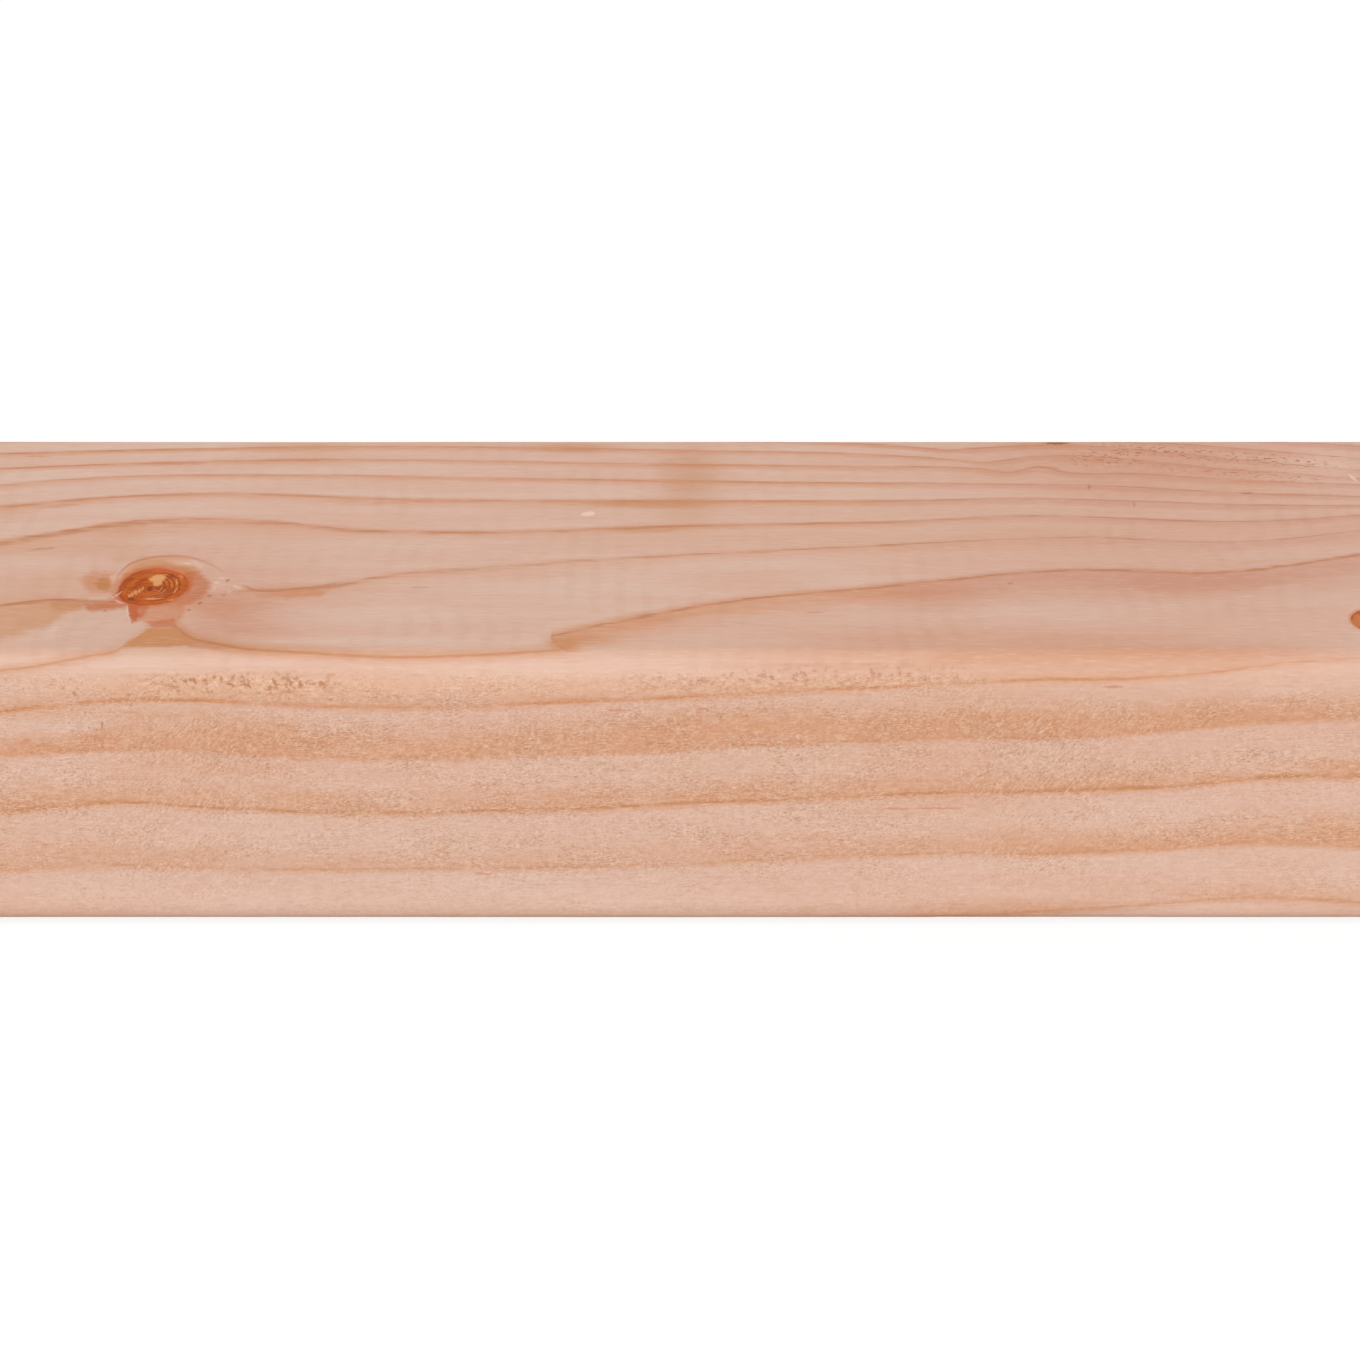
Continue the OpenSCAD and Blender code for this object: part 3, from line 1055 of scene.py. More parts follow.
    def build(self) -> bpy.types.Object:
        """Makes the mesh with its growth attributes, bake map and hard end edges.

        Returns:
            The plank's object, at the origin.
        """
        profile, normals, stretch = self.section.walk()
        x = self.columns()
        grid = np.empty((len(x), len(profile), 3))
        grid[..., 0] = x[:, None]
        grid[..., 1:] = profile[None]
        column, _ = self.rings.view.project(grid)
        section_row, hold = self.picture_rows(profile, stretch)
        row = np.broadcast_to(section_row, column.shape)
        growth = self.grow(grid, column, row, hold)
        year = growth[0]
        narrow = between((0.75, 1.0), (1.2, 2.0), stretch) + between((2.7, 3.0), (3.0, 3.3), stretch)
        edge = np.broadcast_to(narrow, column.shape)
        knot = nearest_knot(grid, self.rings, self.section)
        torn = np.clip(sum(zone.cover(column, row) for zone in TORN), 0.0, 1.0)
        layers = self.looks(column, row, growth, edge)
        near = smoothstep(1.9, 1.3, knot[..., 2])
        layers |= {"year": year, "edge": edge, "torn": torn, "fuzz": self.fuzz(column, row, year, edge),
                   "steep": bell(190.0, 90.0, 4, column) + bell(1060.0, 120.0, 4, column),
                   "knot": np.minimum(knot[..., 2], self.farthest_knot),
                   "knot_side": knot[..., 0] * near, "knot_back": knot[..., 1] * near}
        for name, line in (("seam", SEAM), ("brow", BROW), ("crease", CREASE)):
            layers |= {name: self.drawn(line, column, row), f"{name}_bold": along(line.bold, column)}
        layers |= {f"patch_{number}": patch.outside(column, row) for number, patch in enumerate(PATCHES)}
        depth = self.relief(grid, year, edge, knot[..., 2], torn)
        picture = np.stack([column, row, np.zeros(column.shape)], axis=-1)
        grid[..., 1:] -= depth[..., None] * normals[None]
        return self.weave(grid, layers, {"stains_and_painted_light": self.paint_stains_and_light(column, row), "picture": picture})

    def relief(self, grid: np.ndarray, year: np.ndarray, edge: np.ndarray, knot: np.ndarray,
               torn: np.ndarray) -> np.ndarray:
        """How far the surface lies inside the planed solid, so that nothing stands proud of it.

        Soft spring wood sinks a little, fuzz on the narrow faces and torn fibre add noise, and a knot
        dries hollow in its middle.

        Args:
            grid: Places in millimetres.
            year: Years of growth.
            edge: 1 on the narrow faces.
            knot: Distance from the nearest knot in half sizes.
            torn: Share of torn fibre.

        Returns:
            Depths in millimetres.
        """
        season = year - np.floor(year)
        fuzz = lattice_noise(grid, 1.5, 0.8, 11)
        wave = lattice_noise(grid, 26.0, 9.0, 12)
        pits = smoothstep(0.62, 0.85, lattice_noise(grid, 1.6, 1.3, 13))
        depth = self.skin + self.spring_sinks * (1.0 - season) + self.fuzz_depth * edge * fuzz
        depth += self.wave_depth * wave + self.torn_depth * torn * pits
        depth += self.hollow_depth * bell(0.0, 0.6, 2, knot)
        return depth + self.groove_depth * bell(1.0, 0.12, 2, knot)

    def weave(self, grid: np.ndarray, layers: dict[str, np.ndarray],
              vectors: dict[str, np.ndarray]) -> bpy.types.Object:
        """Turns the grid into a mesh and closes its ends with shrinking copies of the outer rows.

        Args:
            grid: Places on the long sides.
            layers: Numbers at each place, by attribute name.
            vectors: Colours and vectors at each place, by attribute name.

        Returns:
            The plank's object.
        """
        many, around = grid.shape[:2]
        places = [grid.reshape(-1, 3)]
        values = {name: [layer.reshape(-1)] for name, layer in layers.items()}
        index = np.arange(many * around).reshape(many, around)
        index = np.concatenate([index, index[:, :1]], axis=1)
        u = np.broadcast_to(np.arange(many)[:, None] / (many - 1), index.shape)
        v = np.broadcast_to(self.map_long * np.arange(around + 1)[None] / around, index.shape)
        faces = self.quads(index, False).tolist()
        long_faces = len(faces)
        maps = [self.quads_map(u, v, False)]
        for side, outer in ((-1.0, 0), (1.0, many - 1)):
            rim = grid[outer]
            cap, shares = self.end(rim, side)
            first = sum(len(block) for block in places)
            places.append(cap.reshape(-1, 3))
            natural = self.rings.natural_year(cap, self.section)
            drift = layers["year"][outer] - self.rings.natural_year(rim, self.section)
            knot = nearest_knot(cap, self.rings, self.section)[..., 2]
            known = END_LOOK | {"year": natural + drift * shares**self.end_drift_power,
                                "knot": np.minimum(knot, self.farthest_knot)}
            for name, blocks in values.items():
                blocks.append(np.broadcast_to(known.get(name, 0.0), natural.shape).reshape(-1))
            inner = first + np.arange(natural.size).reshape(natural.shape)
            ladder = np.concatenate([index[outer:outer + 1, :-1], inner])
            ladder = np.concatenate([ladder, ladder[:, :1]], axis=1)
            spread = np.concatenate([rim[None], cap])
            spread = np.concatenate([spread, spread[:, :1]], axis=1)
            (apart, wide), (low, high) = self.map_end
            u = 0.5 + apart * side + wide * spread[..., 1] / self.section.width
            v = low + high * spread[..., 2] / self.section.thickness
            turned = slice(None, None, 1 if side < 0 else -1)
            faces += self.quads(ladder, side < 0).tolist() + [inner[-1][turned].tolist()]
            maps.append(self.quads_map(u, v, side < 0))
            maps.append(np.stack([u[-1, :-1], v[-1, :-1]], axis=1)[turned])
        spare = sum(len(block) for block in places) - len(places[0])
        flat = {}
        for name, block in vectors.items():
            parts = block.shape[-1]
            flat[name] = np.concatenate([block.reshape(-1, parts), np.zeros((spare, parts))])
        return self.write(np.concatenate(places), faces, long_faces, np.concatenate(maps), values, flat)

    def end(self, rim: np.ndarray, side: float) -> tuple[np.ndarray, np.ndarray]:
        """Rings of points on a sawn end: the rim drawn in, by shares, towards a strip at mid thickness.

        Args:
            rim: Last row of points on the long sides.
            side: -1 for the left end and 1 for the right end.

        Returns:
            The rings' points, and the share of each.
        """
        reach = self.section.width / 2 - self.end_core
        strip = np.clip(rim[:, 1], -reach, reach)
        core = np.stack([np.zeros(len(rim)), strip, np.full(len(rim), self.section.thickness / 2)], axis=1)
        shares = np.array([1.0 - self.end_break / self.end_core, *self.end_rings])[:, None]
        cap = core + (rim - core) * shares[..., None]
        cap[..., 0] = side * self.length / 2
        return cap, np.broadcast_to(shares, cap.shape[:2])

    @staticmethod
    def quads(index: np.ndarray, flip: bool) -> np.ndarray:
        """Corner numbers of the faces between neighbouring grid points.

        Args:
            index: Vertex numbers on the grid.
            flip: True where the other winding points outwards.

        Returns:
            Four corners for each face.
        """
        corners = [index[:-1, :-1], index[:-1, 1:], index[1:, 1:], index[1:, :-1]]
        if flip:
            corners.reverse()
        return np.stack(corners, axis=-1).reshape(-1, 4)

    @classmethod
    def quads_map(cls, u: np.ndarray, v: np.ndarray, flip: bool) -> np.ndarray:
        """Map places of the same corners, in the same order."""
        return np.stack([cls.quads(u, flip).reshape(-1), cls.quads(v, flip).reshape(-1)], axis=1)

    def write(self, places: np.ndarray, faces: list, long_faces: int, uv: np.ndarray,
              values: dict[str, list], vectors: dict[str, np.ndarray]) -> bpy.types.Object:
        """Writes the arrays into a mesh object.

        Args:
            places: Vertices in millimetres.
            faces: Corner numbers of every face, the long sides first.
            long_faces: How many faces the long sides have.
            uv: Map places in the order of the corners.
            values: Blocks of numbers by attribute name.
            vectors: Colours and vectors at each vertex by attribute name.

        Returns:
            The plank's object.
        """
        mesh = bpy.data.meshes.new("planed_plank")
        mesh.from_pydata((places * MM).tolist(), [], faces)
        for name, blocks in values.items():
            layer = mesh.attributes.new(name, "FLOAT", "POINT")
            layer.data.foreach_set("value", np.concatenate(blocks).astype(np.float32))
        kinds = {4: ("FLOAT_COLOR", "color"), 3: ("FLOAT_VECTOR", "vector")}
        for name, block in vectors.items():
            kind, part = kinds[block.shape[-1]]
            layer = mesh.attributes.new(name, kind, "POINT")
            layer.data.foreach_set(part, block.astype(np.float32).ravel())
        bake = mesh.uv_layers.new(name="OFBake")
        bake.data.foreach_set("uv", uv.astype(np.float32).ravel())
        slots = (np.arange(len(faces)) >= long_faces).astype(np.int32)
        mesh.polygons.foreach_set("material_index", slots)
        mesh.polygons.foreach_set("use_smooth", np.ones(len(faces), bool))
        mesh.set_sharp_from_angle(angle=self.sharp_from)
        mesh.update()
        plank = bpy.data.objects.new("planed_plank", mesh)
        bpy.context.scene.collection.objects.link(plank)
        triangles = sum(len(face) - 2 for face in faces)
        log.info("planed_plank: %d vertices, %d triangles", len(places), triangles)
        return plank


class Wire:
    """A number that comes out of a shader node. Arithmetic on it adds Math nodes."""

    def __init__(self, shader: "Shader", socket: bpy.types.NodeSocket) -> None:
        """Keeps the socket and the tree that it belongs to."""
        self.shader = shader
        self.socket = socket

    def __add__(self, other: "Wire | float") -> "Wire":
        """Sum."""
        return self.shader.maths("ADD", self, other)

    __radd__ = __add__

    def __mul__(self, other: "Wire | float") -> "Wire":
        """Product."""
        return self.shader.maths("MULTIPLY", self, other)

    __rmul__ = __mul__

    def __sub__(self, other: "Wire | float") -> "Wire":
        """Difference."""
        return self.shader.maths("SUBTRACT", self, other)

    def __rsub__(self, other: "Wire | float") -> "Wire":
        """Difference the other way round."""
        return self.shader.maths("SUBTRACT", other, self)

    def __truediv__(self, other: "Wire | float") -> "Wire":
        """Quotient."""
        return self.shader.maths("DIVIDE", self, other)

    def __rtruediv__(self, other: "Wire | float") -> "Wire":
        """Quotient the other way round."""
        return self.shader.maths("DIVIDE", other, self)

    def __or__(self, other: "Wire | float") -> "Wire":
        """The larger of the two."""
        return self.shader.maths("MAXIMUM", self, other)

    __ror__ = __or__

    def step(self, low: float, high: float, full: float = 1.0) -> "Wire":
        """Eases from 0 at low to full at high."""
        sockets = {"Value": self, "From Min": low, "From Max": high, "To Max": full}
        return self.shader.out("MapRange", {"interpolation_type": "SMOOTHSTEP"}, sockets, "Result")

    def fade(self, low: float, high: float, full: float = 1.0) -> "Wire":
        """Eases from full at low to 0 at high."""
        return self.step(high, low, full)


class Shader:
    """The node tree of a material or of the surround, with short ways to add what the finishes need."""

    def __init__(self, owner: bpy.types.Material | bpy.types.World) -> None:
        """Starts with an empty tree."""
        self.owner = owner
        owner.use_nodes = True
        self.tree = owner.node_tree
        self.tree.nodes.clear()

    def node(self, kind: str, settings: dict, sockets: dict) -> bpy.types.Node:
        """Adds a node, sets it up and feeds its sockets.

        Args:
            kind: Node type without the "ShaderNode" in front.
            settings: Properties, set first.
            sockets: Values or wires by socket name or number.

        Returns:
            The node.
        """
        made = self.tree.nodes.new("ShaderNode" + kind)
        for name, value in settings.items():
            setattr(made, name, value)
        for name, value in sockets.items():
            if isinstance(value, Wire):
                self.tree.links.new(value.socket, made.inputs[name])
            else:
                made.inputs[name].default_value = value
        return made

    def out(self, kind: str, settings: dict, sockets: dict, output: str | int = 0) -> Wire:
        """Adds a node and takes one of its outputs."""
        return Wire(self, self.node(kind, settings, sockets).outputs[output])

    def maths(self, operation: str, first: Wire | float, second: Wire | float = 0.0) -> Wire:
        """Adds a Math node."""
        return self.out("Math", {"operation": operation}, {0: first, 1: second})

    def vectors(self, operation: str, first: Wire | Colour, second: Wire | Colour) -> Wire:
        """Adds a Vector Math node."""
        output = "Value" if operation == "LENGTH" else "Vector"
        return self.out("VectorMath", {"operation": operation}, {0: first, 1: second}, output)

    def tint(self, share: Wire | float, under: Wire | Colour, over: Wire | Colour, way: str = "MIX") -> Wire:
        """Lays one colour over another by a share. Plain colours are sRGB from 0 to 255."""
        lower, upper = (part if isinstance(part, Wire) else linear(part) for part in (under, over))
        return self.out("Mix", {"data_type": "RGBA", "blend_type": way, "clamp_factor": True},
                        {0: share, 6: lower, 7: upper}, 2)

    def coats(self, colour: Wire, *coats: tuple[Wire, Colour]) -> Wire:
        """Lays several colours over the first, each by its share, from the bottom up."""
        return reduce(lambda under, coat: self.tint(coat[0], under, coat[1]), coats, colour)

    @cache
    def attribute(self, name: str, output: str = "Fac") -> Wire:
        """Reads one of the mesh's attributes, through one node for each."""
        return self.out("Attribute", {"attribute_name": name}, {}, output)

    @cached_property
    def place(self) -> Wire:
        """Place on the object in millimetres."""
        metres = self.out("TexCoord", {}, {}, "Object")
        return self.vectors("DIVIDE", metres, (MM, MM, MM))

    def grain(self, grain: Grain, slant: float = 0.0) -> Wire:
        """Adds one of the wood's noises.

        Args:
            grain: The noise.
            slant: Angle to the grain at which its blots lie, in radians.

        Returns:
            Numbers round one half.
        """
        length, breadth, detail = grain.value
        place = self.place
        if slant:
            turned = {"Vector": place, "Angle": slant}
            place = self.out("VectorRotate", {"rotation_type": "Y_AXIS"}, turned)
        stretched = self.vectors("DIVIDE", place, (length, breadth, breadth))
        return self.out("TexNoise", {}, {"Vector": stretched, "Scale": 1.0, "Detail": detail}, 0)

    def seen(self) -> Wire:
        """Tells which rays a viewer sees directly, in a mirror or through glass.

        Returns:
            1 for those rays and 0 for the rest.
        """
        path = self.node("LightPath", {}, {})
        kinds = ("Camera", "Glossy", "Transmission")
        return reduce(operator.or_, [Wire(self, path.outputs[f"Is {kind} Ray"]) for kind in kinds])


@dataclass(frozen=True)
class SoftwoodFinish:
    """Bare planed softwood. Colours are sRGB from 0 to 255."""

    spring: Colour = (222, 188, 170)
    spring_pink: Colour = (220, 180, 160)
    summer: Colour = (212, 158, 125)
    summer_red: Colour = (216, 150, 118)
    summer_rosy: Colour = (210, 162, 142)
    line: Colour = (193, 133, 95)
    line_red: Colour = (202, 134, 100)
    line_rosy: Colour = (193, 137, 114)
    line_edge: Colour = (198, 140, 96)
    line_warm: Colour = (206, 138, 92)
    seam: Colour = (202, 138, 94)
    seam_core: Colour = (191, 125, 80)
    brow: Colour = (198, 128, 90)
    crease: Colour = (187, 119, 78)
    dash: Colour = (184, 126, 92)
    knot_dark: Colour = (168, 66, 0)
    knot_light: Colour = (206, 106, 26)
    knot_rim: Colour = (160, 60, 0)
    knot_glow: Colour = (201, 94, 38)
    knot_arc: Colour = (226, 158, 92)
    # Partly painted light and shade: lit tips and tiny shadows of raised fibres, and the shade in torn pits.
    fuzz_dark_and_painted_shade: Colour = (186, 128, 92)
    fuzz_pale_and_painted_light: Colour = (244, 214, 190)
    speck_dark_and_painted_shade: Colour = (168, 102, 66)
    end_shade: Colour = (238.61, 234.90, 231.11)
    mark_waver: Colour = (5.0, 2.6, 0.0)

    def dress(self, plank: bpy.types.Object) -> None:
        """Gives the plank its two materials, the second being that of its ends."""
        for cut in Cut:
            plank.data.materials.append(self.material(cut))

    def material(self, cut: Cut) -> bpy.types.Material:
        """Makes the wood as it shows on one kind of cut.

        The share of a year that has passed picks the colour between spring wood, summer wood and the
        dark line that ends the year. Noise drawn out along the grain gives fibres, dashes and fuzz.

        Args:
            cut: Kind of cut.

        Returns:
            The material.
        """
        shader = Shader(bpy.data.materials.new(f"bare_softwood_{cut.value}"))
        edge, year, rosy, thin = (shader.attribute(name) for name in ("edge", "year", "rosy", "thin"))
        ragged = (shader.grain(Grain.RAGGED) - 0.5) * 0.07
        fray = (shader.grain(Grain.FRAY) - 0.5) * 0.05
        season = shader.maths("FRACT", year + ragged + fray)
        colour = shader.tint(shader.grain(Grain.CLOUD).step(0.35, 0.65), self.spring, self.spring_pink)
        uneven = (shader.grain(Grain.UNEVEN) - 0.5) * (0.14 + edge * 0.30)
        late = ((season - shader.attribute("starts") + uneven) / (0.30 + edge * 0.28)).step(0.0, 1.0)
        tan = (late | season.fade(0.0, 0.13)) * shader.attribute("tan")
        tan = tan * (0.78 + shader.grain(Grain.BANDS).step(0.3, 0.7) * 0.38)
        flush = shader.grain(Grain.FLUSH).step(0.47, 0.58) * (0.8 - edge * 0.7)
        summer = shader.tint(flush, self.summer, self.summer_red)
        colour = shader.tint(tan, colour, shader.tint(rosy, summer, self.summer_rosy))
        ending = ((season - 1.0) / thin + 1.0).step(0.0, 0.85) | (season / thin).fade(0.0, 0.5)
        vary = 0.32 + shader.grain(Grain.VARIED).step(0.38, 0.62) * 1.06
        dark = ending * shader.attribute("crisp") * vary
        if cut is Cut.ALONG:
            colour = self.stains_and_painted_light(shader, colour)
        line = shader.tint(shader.grain(Grain.REDDISH).step(0.45, 0.60), self.line, self.line_red)
        line = shader.coats(line, (rosy * year.step(0.2, 0.6), self.line_rosy), (edge, self.line_edge),
                            (shader.attribute("warm"), self.line_warm))
        colour, height = self.fibre(shader, shader.tint(dark, colour, line), tan)
        colour, inside = self.knotted(shader, colour)
        if cut is Cut.ALONG:
            colour = self.marked(shader, colour)
        else:
            colour = shader.tint(1.0, colour, self.end_shade, "MULTIPLY")
        rough = 0.58 + edge * 0.18 - tan * 0.06 - inside * 0.10
        bump = shader.out("Bump", {}, {"Strength": 1.0, "Distance": MM, "Height": height}, "Normal")
        wood = {"Base Color": colour, "Roughness": rough, "Normal": bump, "Specular IOR Level": 0.04}
        surface = shader.out("BsdfPrincipled", {}, wood)
        shader.node("OutputMaterial", {}, {"Surface": surface})
        return shader.owner

    def stains_and_painted_light(self, shader: Shader, colour: Wire) -> Wire:
        """Lays the stains and painted light over the wood, then the patches, some of them painted
        highlights, and the drawn lines over them.

        Args:
            shader: Tree to add to.
            colour: Colour so far.

        Returns:
            The colour.
        """
        left = 1.0 - shader.attribute("stains_and_painted_light", "Alpha")
        kept = shader.out("VectorMath", {"operation": "SCALE"}, {0: colour, "Scale": left})
        colour = shader.vectors("ADD", kept, shader.attribute("stains_and_painted_light", "Color"))
        waver = shader.grain(Grain.WAVER) - 0.5
        for number, patch in enumerate(PATCHES):
            outside = shader.attribute(f"patch_{number}") + waver * patch.ragged
            share = outside.fade(-patch.soft, patch.soft, patch.strength)
            colour = shader.tint(share, colour, patch.tone.value)
        drawn = (("seam", (0.0, 11.0, 0.46), self.seam), ("seam", (0.2, 2.4, 0.50), self.seam_core),
                 ("brow", (0.3, 2.0), self.brow), ("crease", (0.3, 2.0), self.crease))
        for name, fade, tone in drawn:
            away = shader.maths("ABSOLUTE", shader.attribute(name))
            colour = shader.tint(away.fade(*fade) * shader.attribute(f"{name}_bold"), colour, tone)
        return colour

    def fibre(self, shader: Shader, colour: Wire, tan: Wire) -> tuple[Wire, Wire]:
        """Adds long fibres, planer chatter, the fuzz of the narrow edges and torn flecks, partly as painted
        light and shade.

        Args:
            shader: Tree to add to.
            colour: Colour so far.
            tan: Share of summer wood.

        Returns:
            The colour, and the height in millimetres for the bump.
        """
        edge, steep, torn = (shader.attribute(name) for name in ("edge", "steep", "torn"))
        streak, hair, nap, fleck = (shader.grain(grain) for grain in (
            Grain.STREAK, Grain.HAIR, Grain.NAP, Grain.FLECK))
        along_grain = shader.out("SeparateXYZ", {}, {0: shader.place})
        chatter = shader.maths("SINE", along_grain * 1.85 + shader.grain(Grain.CHATTER) * 9.0)
        chatter = chatter.step(-0.4, 1.0) * (1.0 - edge) * shader.grain(Grain.CHATTER_AREA).step(0.4, 0.7)
        fuzz = shader.attribute("fuzz") * (0.35 + shader.grain(Grain.PATCHY).step(0.30, 0.72) * 0.85)
        lain = shader.grain(Grain.STROKE, 0.14) * (1.0 - steep) + shader.grain(Grain.STROKE, 0.85) * steep
        stroke = lain.step(0.57, 0.70) * fuzz
        tick = shader.grain(Grain.TICK).step(0.64, 0.76) * fuzz
        dot = shader.grain(Grain.DOT).step(0.70, 0.80) * fuzz
        mottle = edge * 0.4 + fuzz * 0.6
        pit = fleck.step(0.58, 0.66) * torn
        # Pale fuzz specks and strokes are painted highlights on raised fibres, and dark specks and dots are
        # painted shade under them.
        # Torn pits are painted darker as shade, with painted highlights on their rims.
        colour = shader.coats(
            colour,
            (streak.step(0.30, 0.70) * 0.08, self.line),
            (hair.step(0.52, 0.78) * 0.18, self.dash),
            (hair.fade(0.24, 0.48) * 0.18, self.fuzz_pale_and_painted_light),
            (chatter * 0.09, self.dash),
            (fuzz * nap.fade(0.30, 0.50, 0.48), self.fuzz_dark_and_painted_shade),
            (fuzz * nap.step(0.50, 0.70, 0.40), self.fuzz_pale_and_painted_light),
            (stroke * 0.50, self.fuzz_pale_and_painted_light),
            (lain.fade(0.30, 0.43) * fuzz * 0.50, self.fuzz_dark_and_painted_shade),
            (tick * (0.12 + tan * 0.28), self.fuzz_dark_and_painted_shade),
            (dot * 0.55, self.speck_dark_and_painted_shade),
            (fleck.step(0.48, 0.72) * mottle * 0.16, self.fuzz_dark_and_painted_shade),
            (fleck.fade(0.28, 0.50) * mottle * 0.16, self.fuzz_pale_and_painted_light),
            (fleck.fade(0.28, 0.40) * torn * (0.18 + edge * 0.32), self.fuzz_pale_and_painted_light),
            (pit * (1.0 - edge * 0.38), self.speck_dark_and_painted_shade))
        return colour, streak * 0.010 + (nap * 0.06 + stroke * 0.04) * fuzz - pit * 0.05

    def knotted(self, shader: Shader, colour: Wire) -> tuple[Wire, Wire]:
        """Lays the knots over the wood: broken rings round each middle, a dark rim and a reddish glow.

        Args:
            shader: Tree to add to.
            colour: Colour so far.

        Returns:
            The colour, and 1 inside a knot.
        """
        near, side, back = (shader.attribute(name) for name in ("knot", "knot_side", "knot_back"))
        away = near + (shader.grain(Grain.KNOT_EDGE) - 0.5) * 0.15
        inside = away.fade(0.95, 1.04)
        glow = away.fade(1.0, 1.22) * (0.50 - back.step(0.0, 0.8) * side.step(0.0, 0.6) * 0.35)
        patchy = shader.grain(Grain.KNOT_PATCHY)
        rings = shader.maths("SINE", away * 26.0 + patchy * 8.0) * 0.5 + 0.5
        hatch = shader.grain(Grain.HATCH).step(0.42, 0.62)
        light = rings * 0.22 + hatch * 0.25 + patchy.step(0.3, 0.7) * 0.4
        collar = back.step(0.45, 0.85) * side.step(-0.5, 0.1)
        rim = away.step(0.84, 0.97) * side.fade(-0.75, 0.1)
        fine = shader.maths("SINE", away * 46.0 + patchy * 2.0)
        arc = fine.step(0.80, 0.97) * side.step(-0.1, 0.35) * away.fade(0.72, 0.85) * patchy.step(0.35, 0.6)
        groove = fine.fade(-0.96, -0.60) * side.step(-0.2, 0.3) * away.fade(0.80, 0.92)
        heart = shader.coats(
            shader.tint(light, self.knot_dark, self.knot_light),
            (collar * 0.7, self.knot_glow),
            (rim * 0.75, self.knot_rim),
            (arc * 0.6, self.knot_arc),
            (groove * 0.7, MarkKind.PIT.value))
        return shader.tint(inside, shader.tint(glow, colour, self.knot_glow), heart), inside

    def marked(self, shader: Shader, colour: Wire) -> Wire:
        """Lays the small crisp marks over the wood kind by kind, each an ellipse with a wavering outline.

        Args:
            shader: Tree to add to.
            colour: Colour so far.

        Returns:
            The colour.
        """
        waver = shader.out("TexNoise", {}, {"Vector": shader.place, "Scale": 1.6, "Detail": 1.0}, 1)
        waver = shader.vectors("SUBTRACT", waver, (0.5, 0.5, 0.5))
        waver = shader.vectors("MULTIPLY", waver, self.mark_waver)
        picture = shader.vectors("ADD", shader.attribute("picture", "Vector"), waver)
        for kind in MarkKind:
            shares = [self.covered(shader, picture, mark) for mark in MARKS if mark.kind is kind]
            colour = shader.tint(reduce(operator.or_, shares), colour, kind.value)
        return colour

    @staticmethod
    def covered(shader: Shader, picture: Wire, mark: Mark) -> Wire:
        """Share that one mark covers: full within its ellipse, and none a little outside it.

        Args:
            shader: Tree to add to.
            picture: Pixel column and row.
            mark: The mark.

        Returns:
            The share, up to the mark's strength.
        """
        middle = (mark.column, mark.row, 0.0)
        if mark.turn:
            picture = shader.out("VectorRotate", {"rotation_type": "Z_AXIS"}, {
                "Vector": picture, "Center": middle, "Angle": -math.radians(mark.turn)})
        scale = (1.0 / mark.wide, 1.0 / mark.high, 0.0)
        offset = tuple(-part * size for part, size in zip(middle, scale))
        local = shader.out("VectorMath", {"operation": "MULTIPLY_ADD"}, {0: picture, 1: scale, 2: offset})
        return shader.vectors("LENGTH", local, (0.0, 0.0, 0.0)).fade(0.65, 1.15, mark.strength)


@dataclass(frozen=True)
class Lamp:
    """A sun with a wide disc, so that its light is the same all along the plank."""

    name: str
    strength: float
    elevation: float
    turn: float
    spread: float

    def place(self) -> None:
        """Makes the lamp."""
        data = bpy.data.lights.new(self.name, "SUN")
        data.energy = self.strength
        data.angle = math.radians(self.spread)
        lamp = bpy.data.objects.new(self.name, data)
        lamp.rotation_euler = (math.radians(90.0 - self.elevation), 0.0, math.radians(self.turn))
        bpy.context.scene.collection.objects.link(lamp)


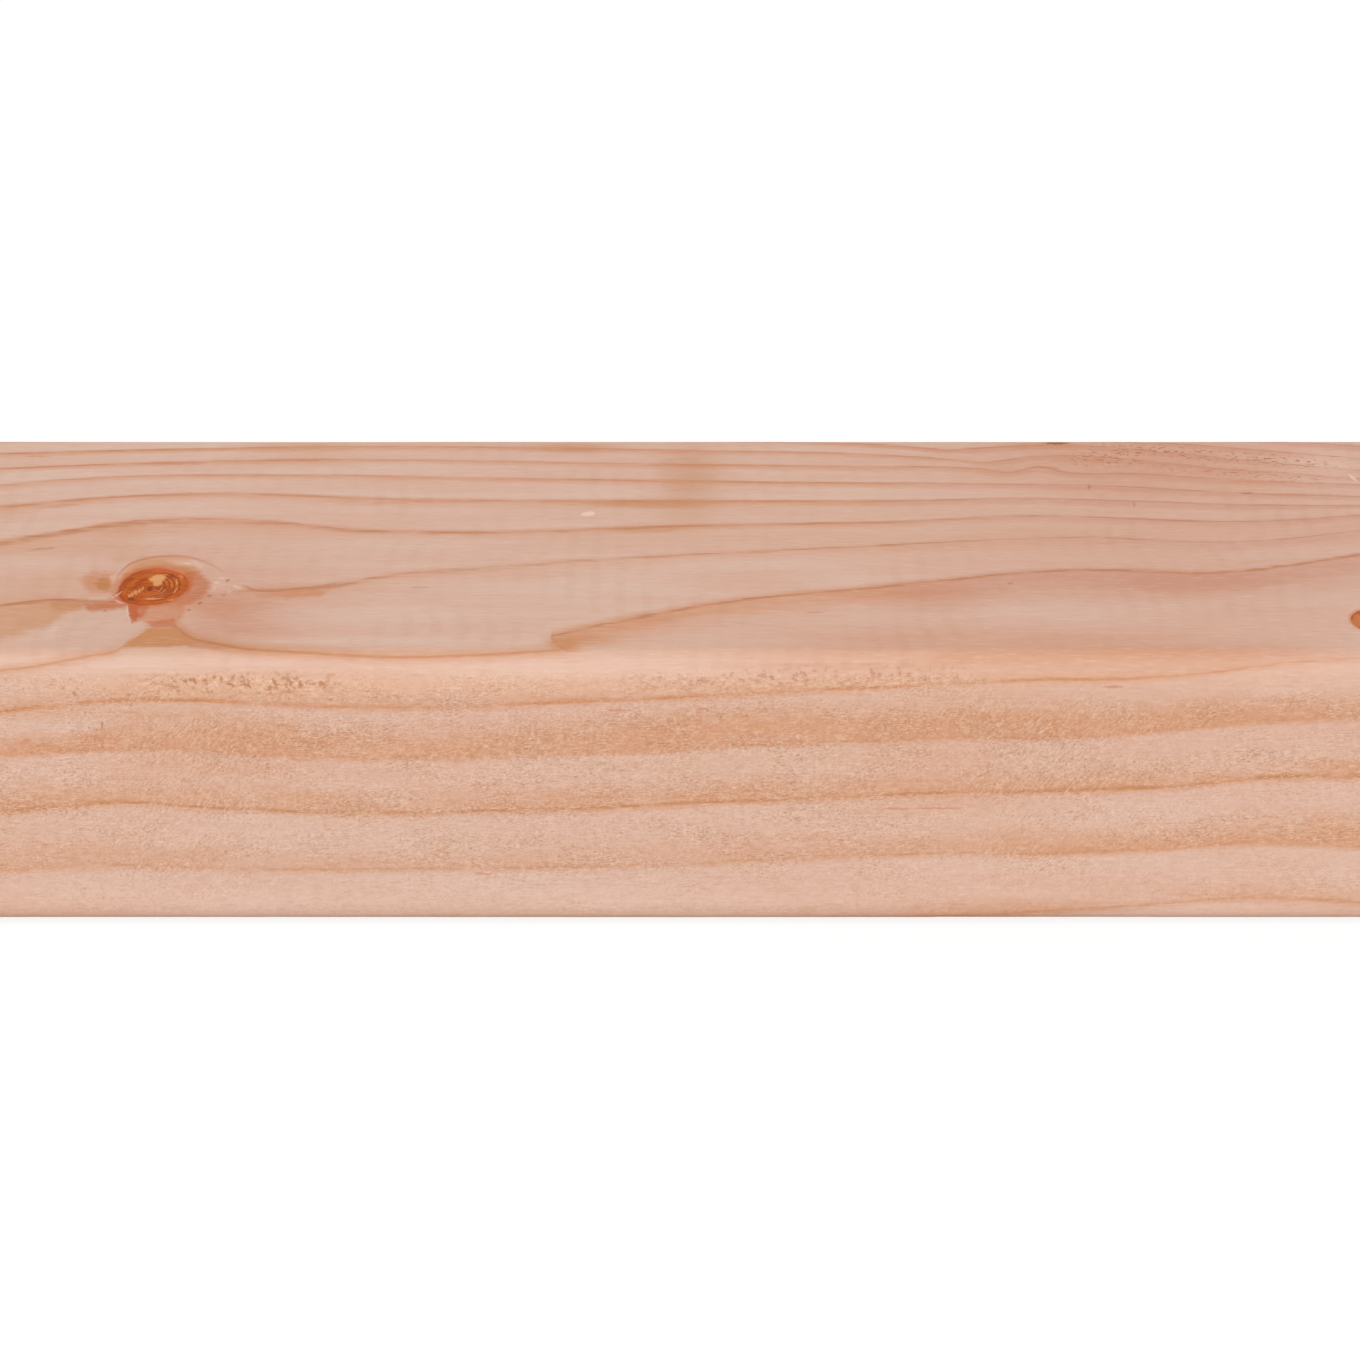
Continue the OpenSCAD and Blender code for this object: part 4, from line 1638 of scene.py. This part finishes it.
@dataclass(frozen=True)
class Studio:
    """A pale floor, a soft lamp overhead, another from the camera's side, and an even surround."""

    floor_half: float = 12.0
    floor_colour: Colour = (227, 226, 225)
    floor_glow: float = 1.09
    floor_glow_share: float = 0.8
    surround: float = 0.50
    lamps: tuple[Lamp, ...] = (
        Lamp("overhead", strength=1.225, elevation=80.0, turn=-14.0, spread=40.0),
        Lamp("fill", strength=1.08, elevation=10.0, turn=-6.0, spread=20.0))

    def set_up(self) -> None:
        """Makes the floor, the lamps and the surround, and picks the plain view transform."""
        self.floor()
        for lamp in self.lamps:
            lamp.place()
        self.world()
        bpy.context.scene.view_settings.view_transform = "Standard"

    def floor(self) -> None:
        """Makes the floor, which shows white to the camera and still takes the shadow."""
        shader = Shader(bpy.data.materials.new("pale_floor"))
        matt = shader.out("BsdfDiffuse", {}, {"Color": linear(self.floor_colour)})
        glow = shader.out("Emission", {}, {"Color": linear(WHITE), "Strength": self.floor_glow})
        both = shader.out("MixShader", {}, {0: shader.seen() * self.floor_glow_share, 1: matt, 2: glow})
        shader.node("OutputMaterial", {}, {"Surface": both})
        mesh = bpy.data.meshes.new("floor")
        corner = np.array([[-1.0, -1.0, 0.0], [1.0, -1.0, 0.0], [1.0, 1.0, 0.0], [-1.0, 1.0, 0.0]])
        mesh.from_pydata((corner * self.floor_half).tolist(), [], [(0, 1, 2, 3)])
        mesh.materials.append(shader.owner)
        floor = bpy.data.objects.new("floor", mesh)
        bpy.context.scene.collection.objects.link(floor)

    def world(self) -> None:
        """Makes the surround: an even light on the plank, and white to the camera."""
        world = bpy.data.worlds.new("surround")
        bpy.context.scene.world = world
        shader = Shader(world)
        light = shader.out("Background", {}, {"Color": linear(WHITE), "Strength": self.surround})
        shown = shader.out("Background", {}, {"Color": linear(WHITE), "Strength": 1.0})
        both = shader.out("MixShader", {}, {0: shader.seen(), 1: light, 2: shown})
        shader.node("OutputWorld", {}, {"Surface": both})


def main() -> None:
    """Builds the camera, the plank and the studio in order."""
    logging.basicConfig(level=logging.INFO, format="%(name)s: %(message)s")
    low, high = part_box("plank")
    size = (high - low) / MM
    view = Viewpoint()
    view.place()
    section = Section(width=size.y, thickness=size.z)
    surface = PlankSurface(section=section, length=size.x, rings=GrowthRings(view=view))
    plank = surface.build()
    SoftwoodFinish().dress(plank)
    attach(plank, "root")
    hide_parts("plank")
    Studio().set_up()


if __name__ == "__main__":
    main()
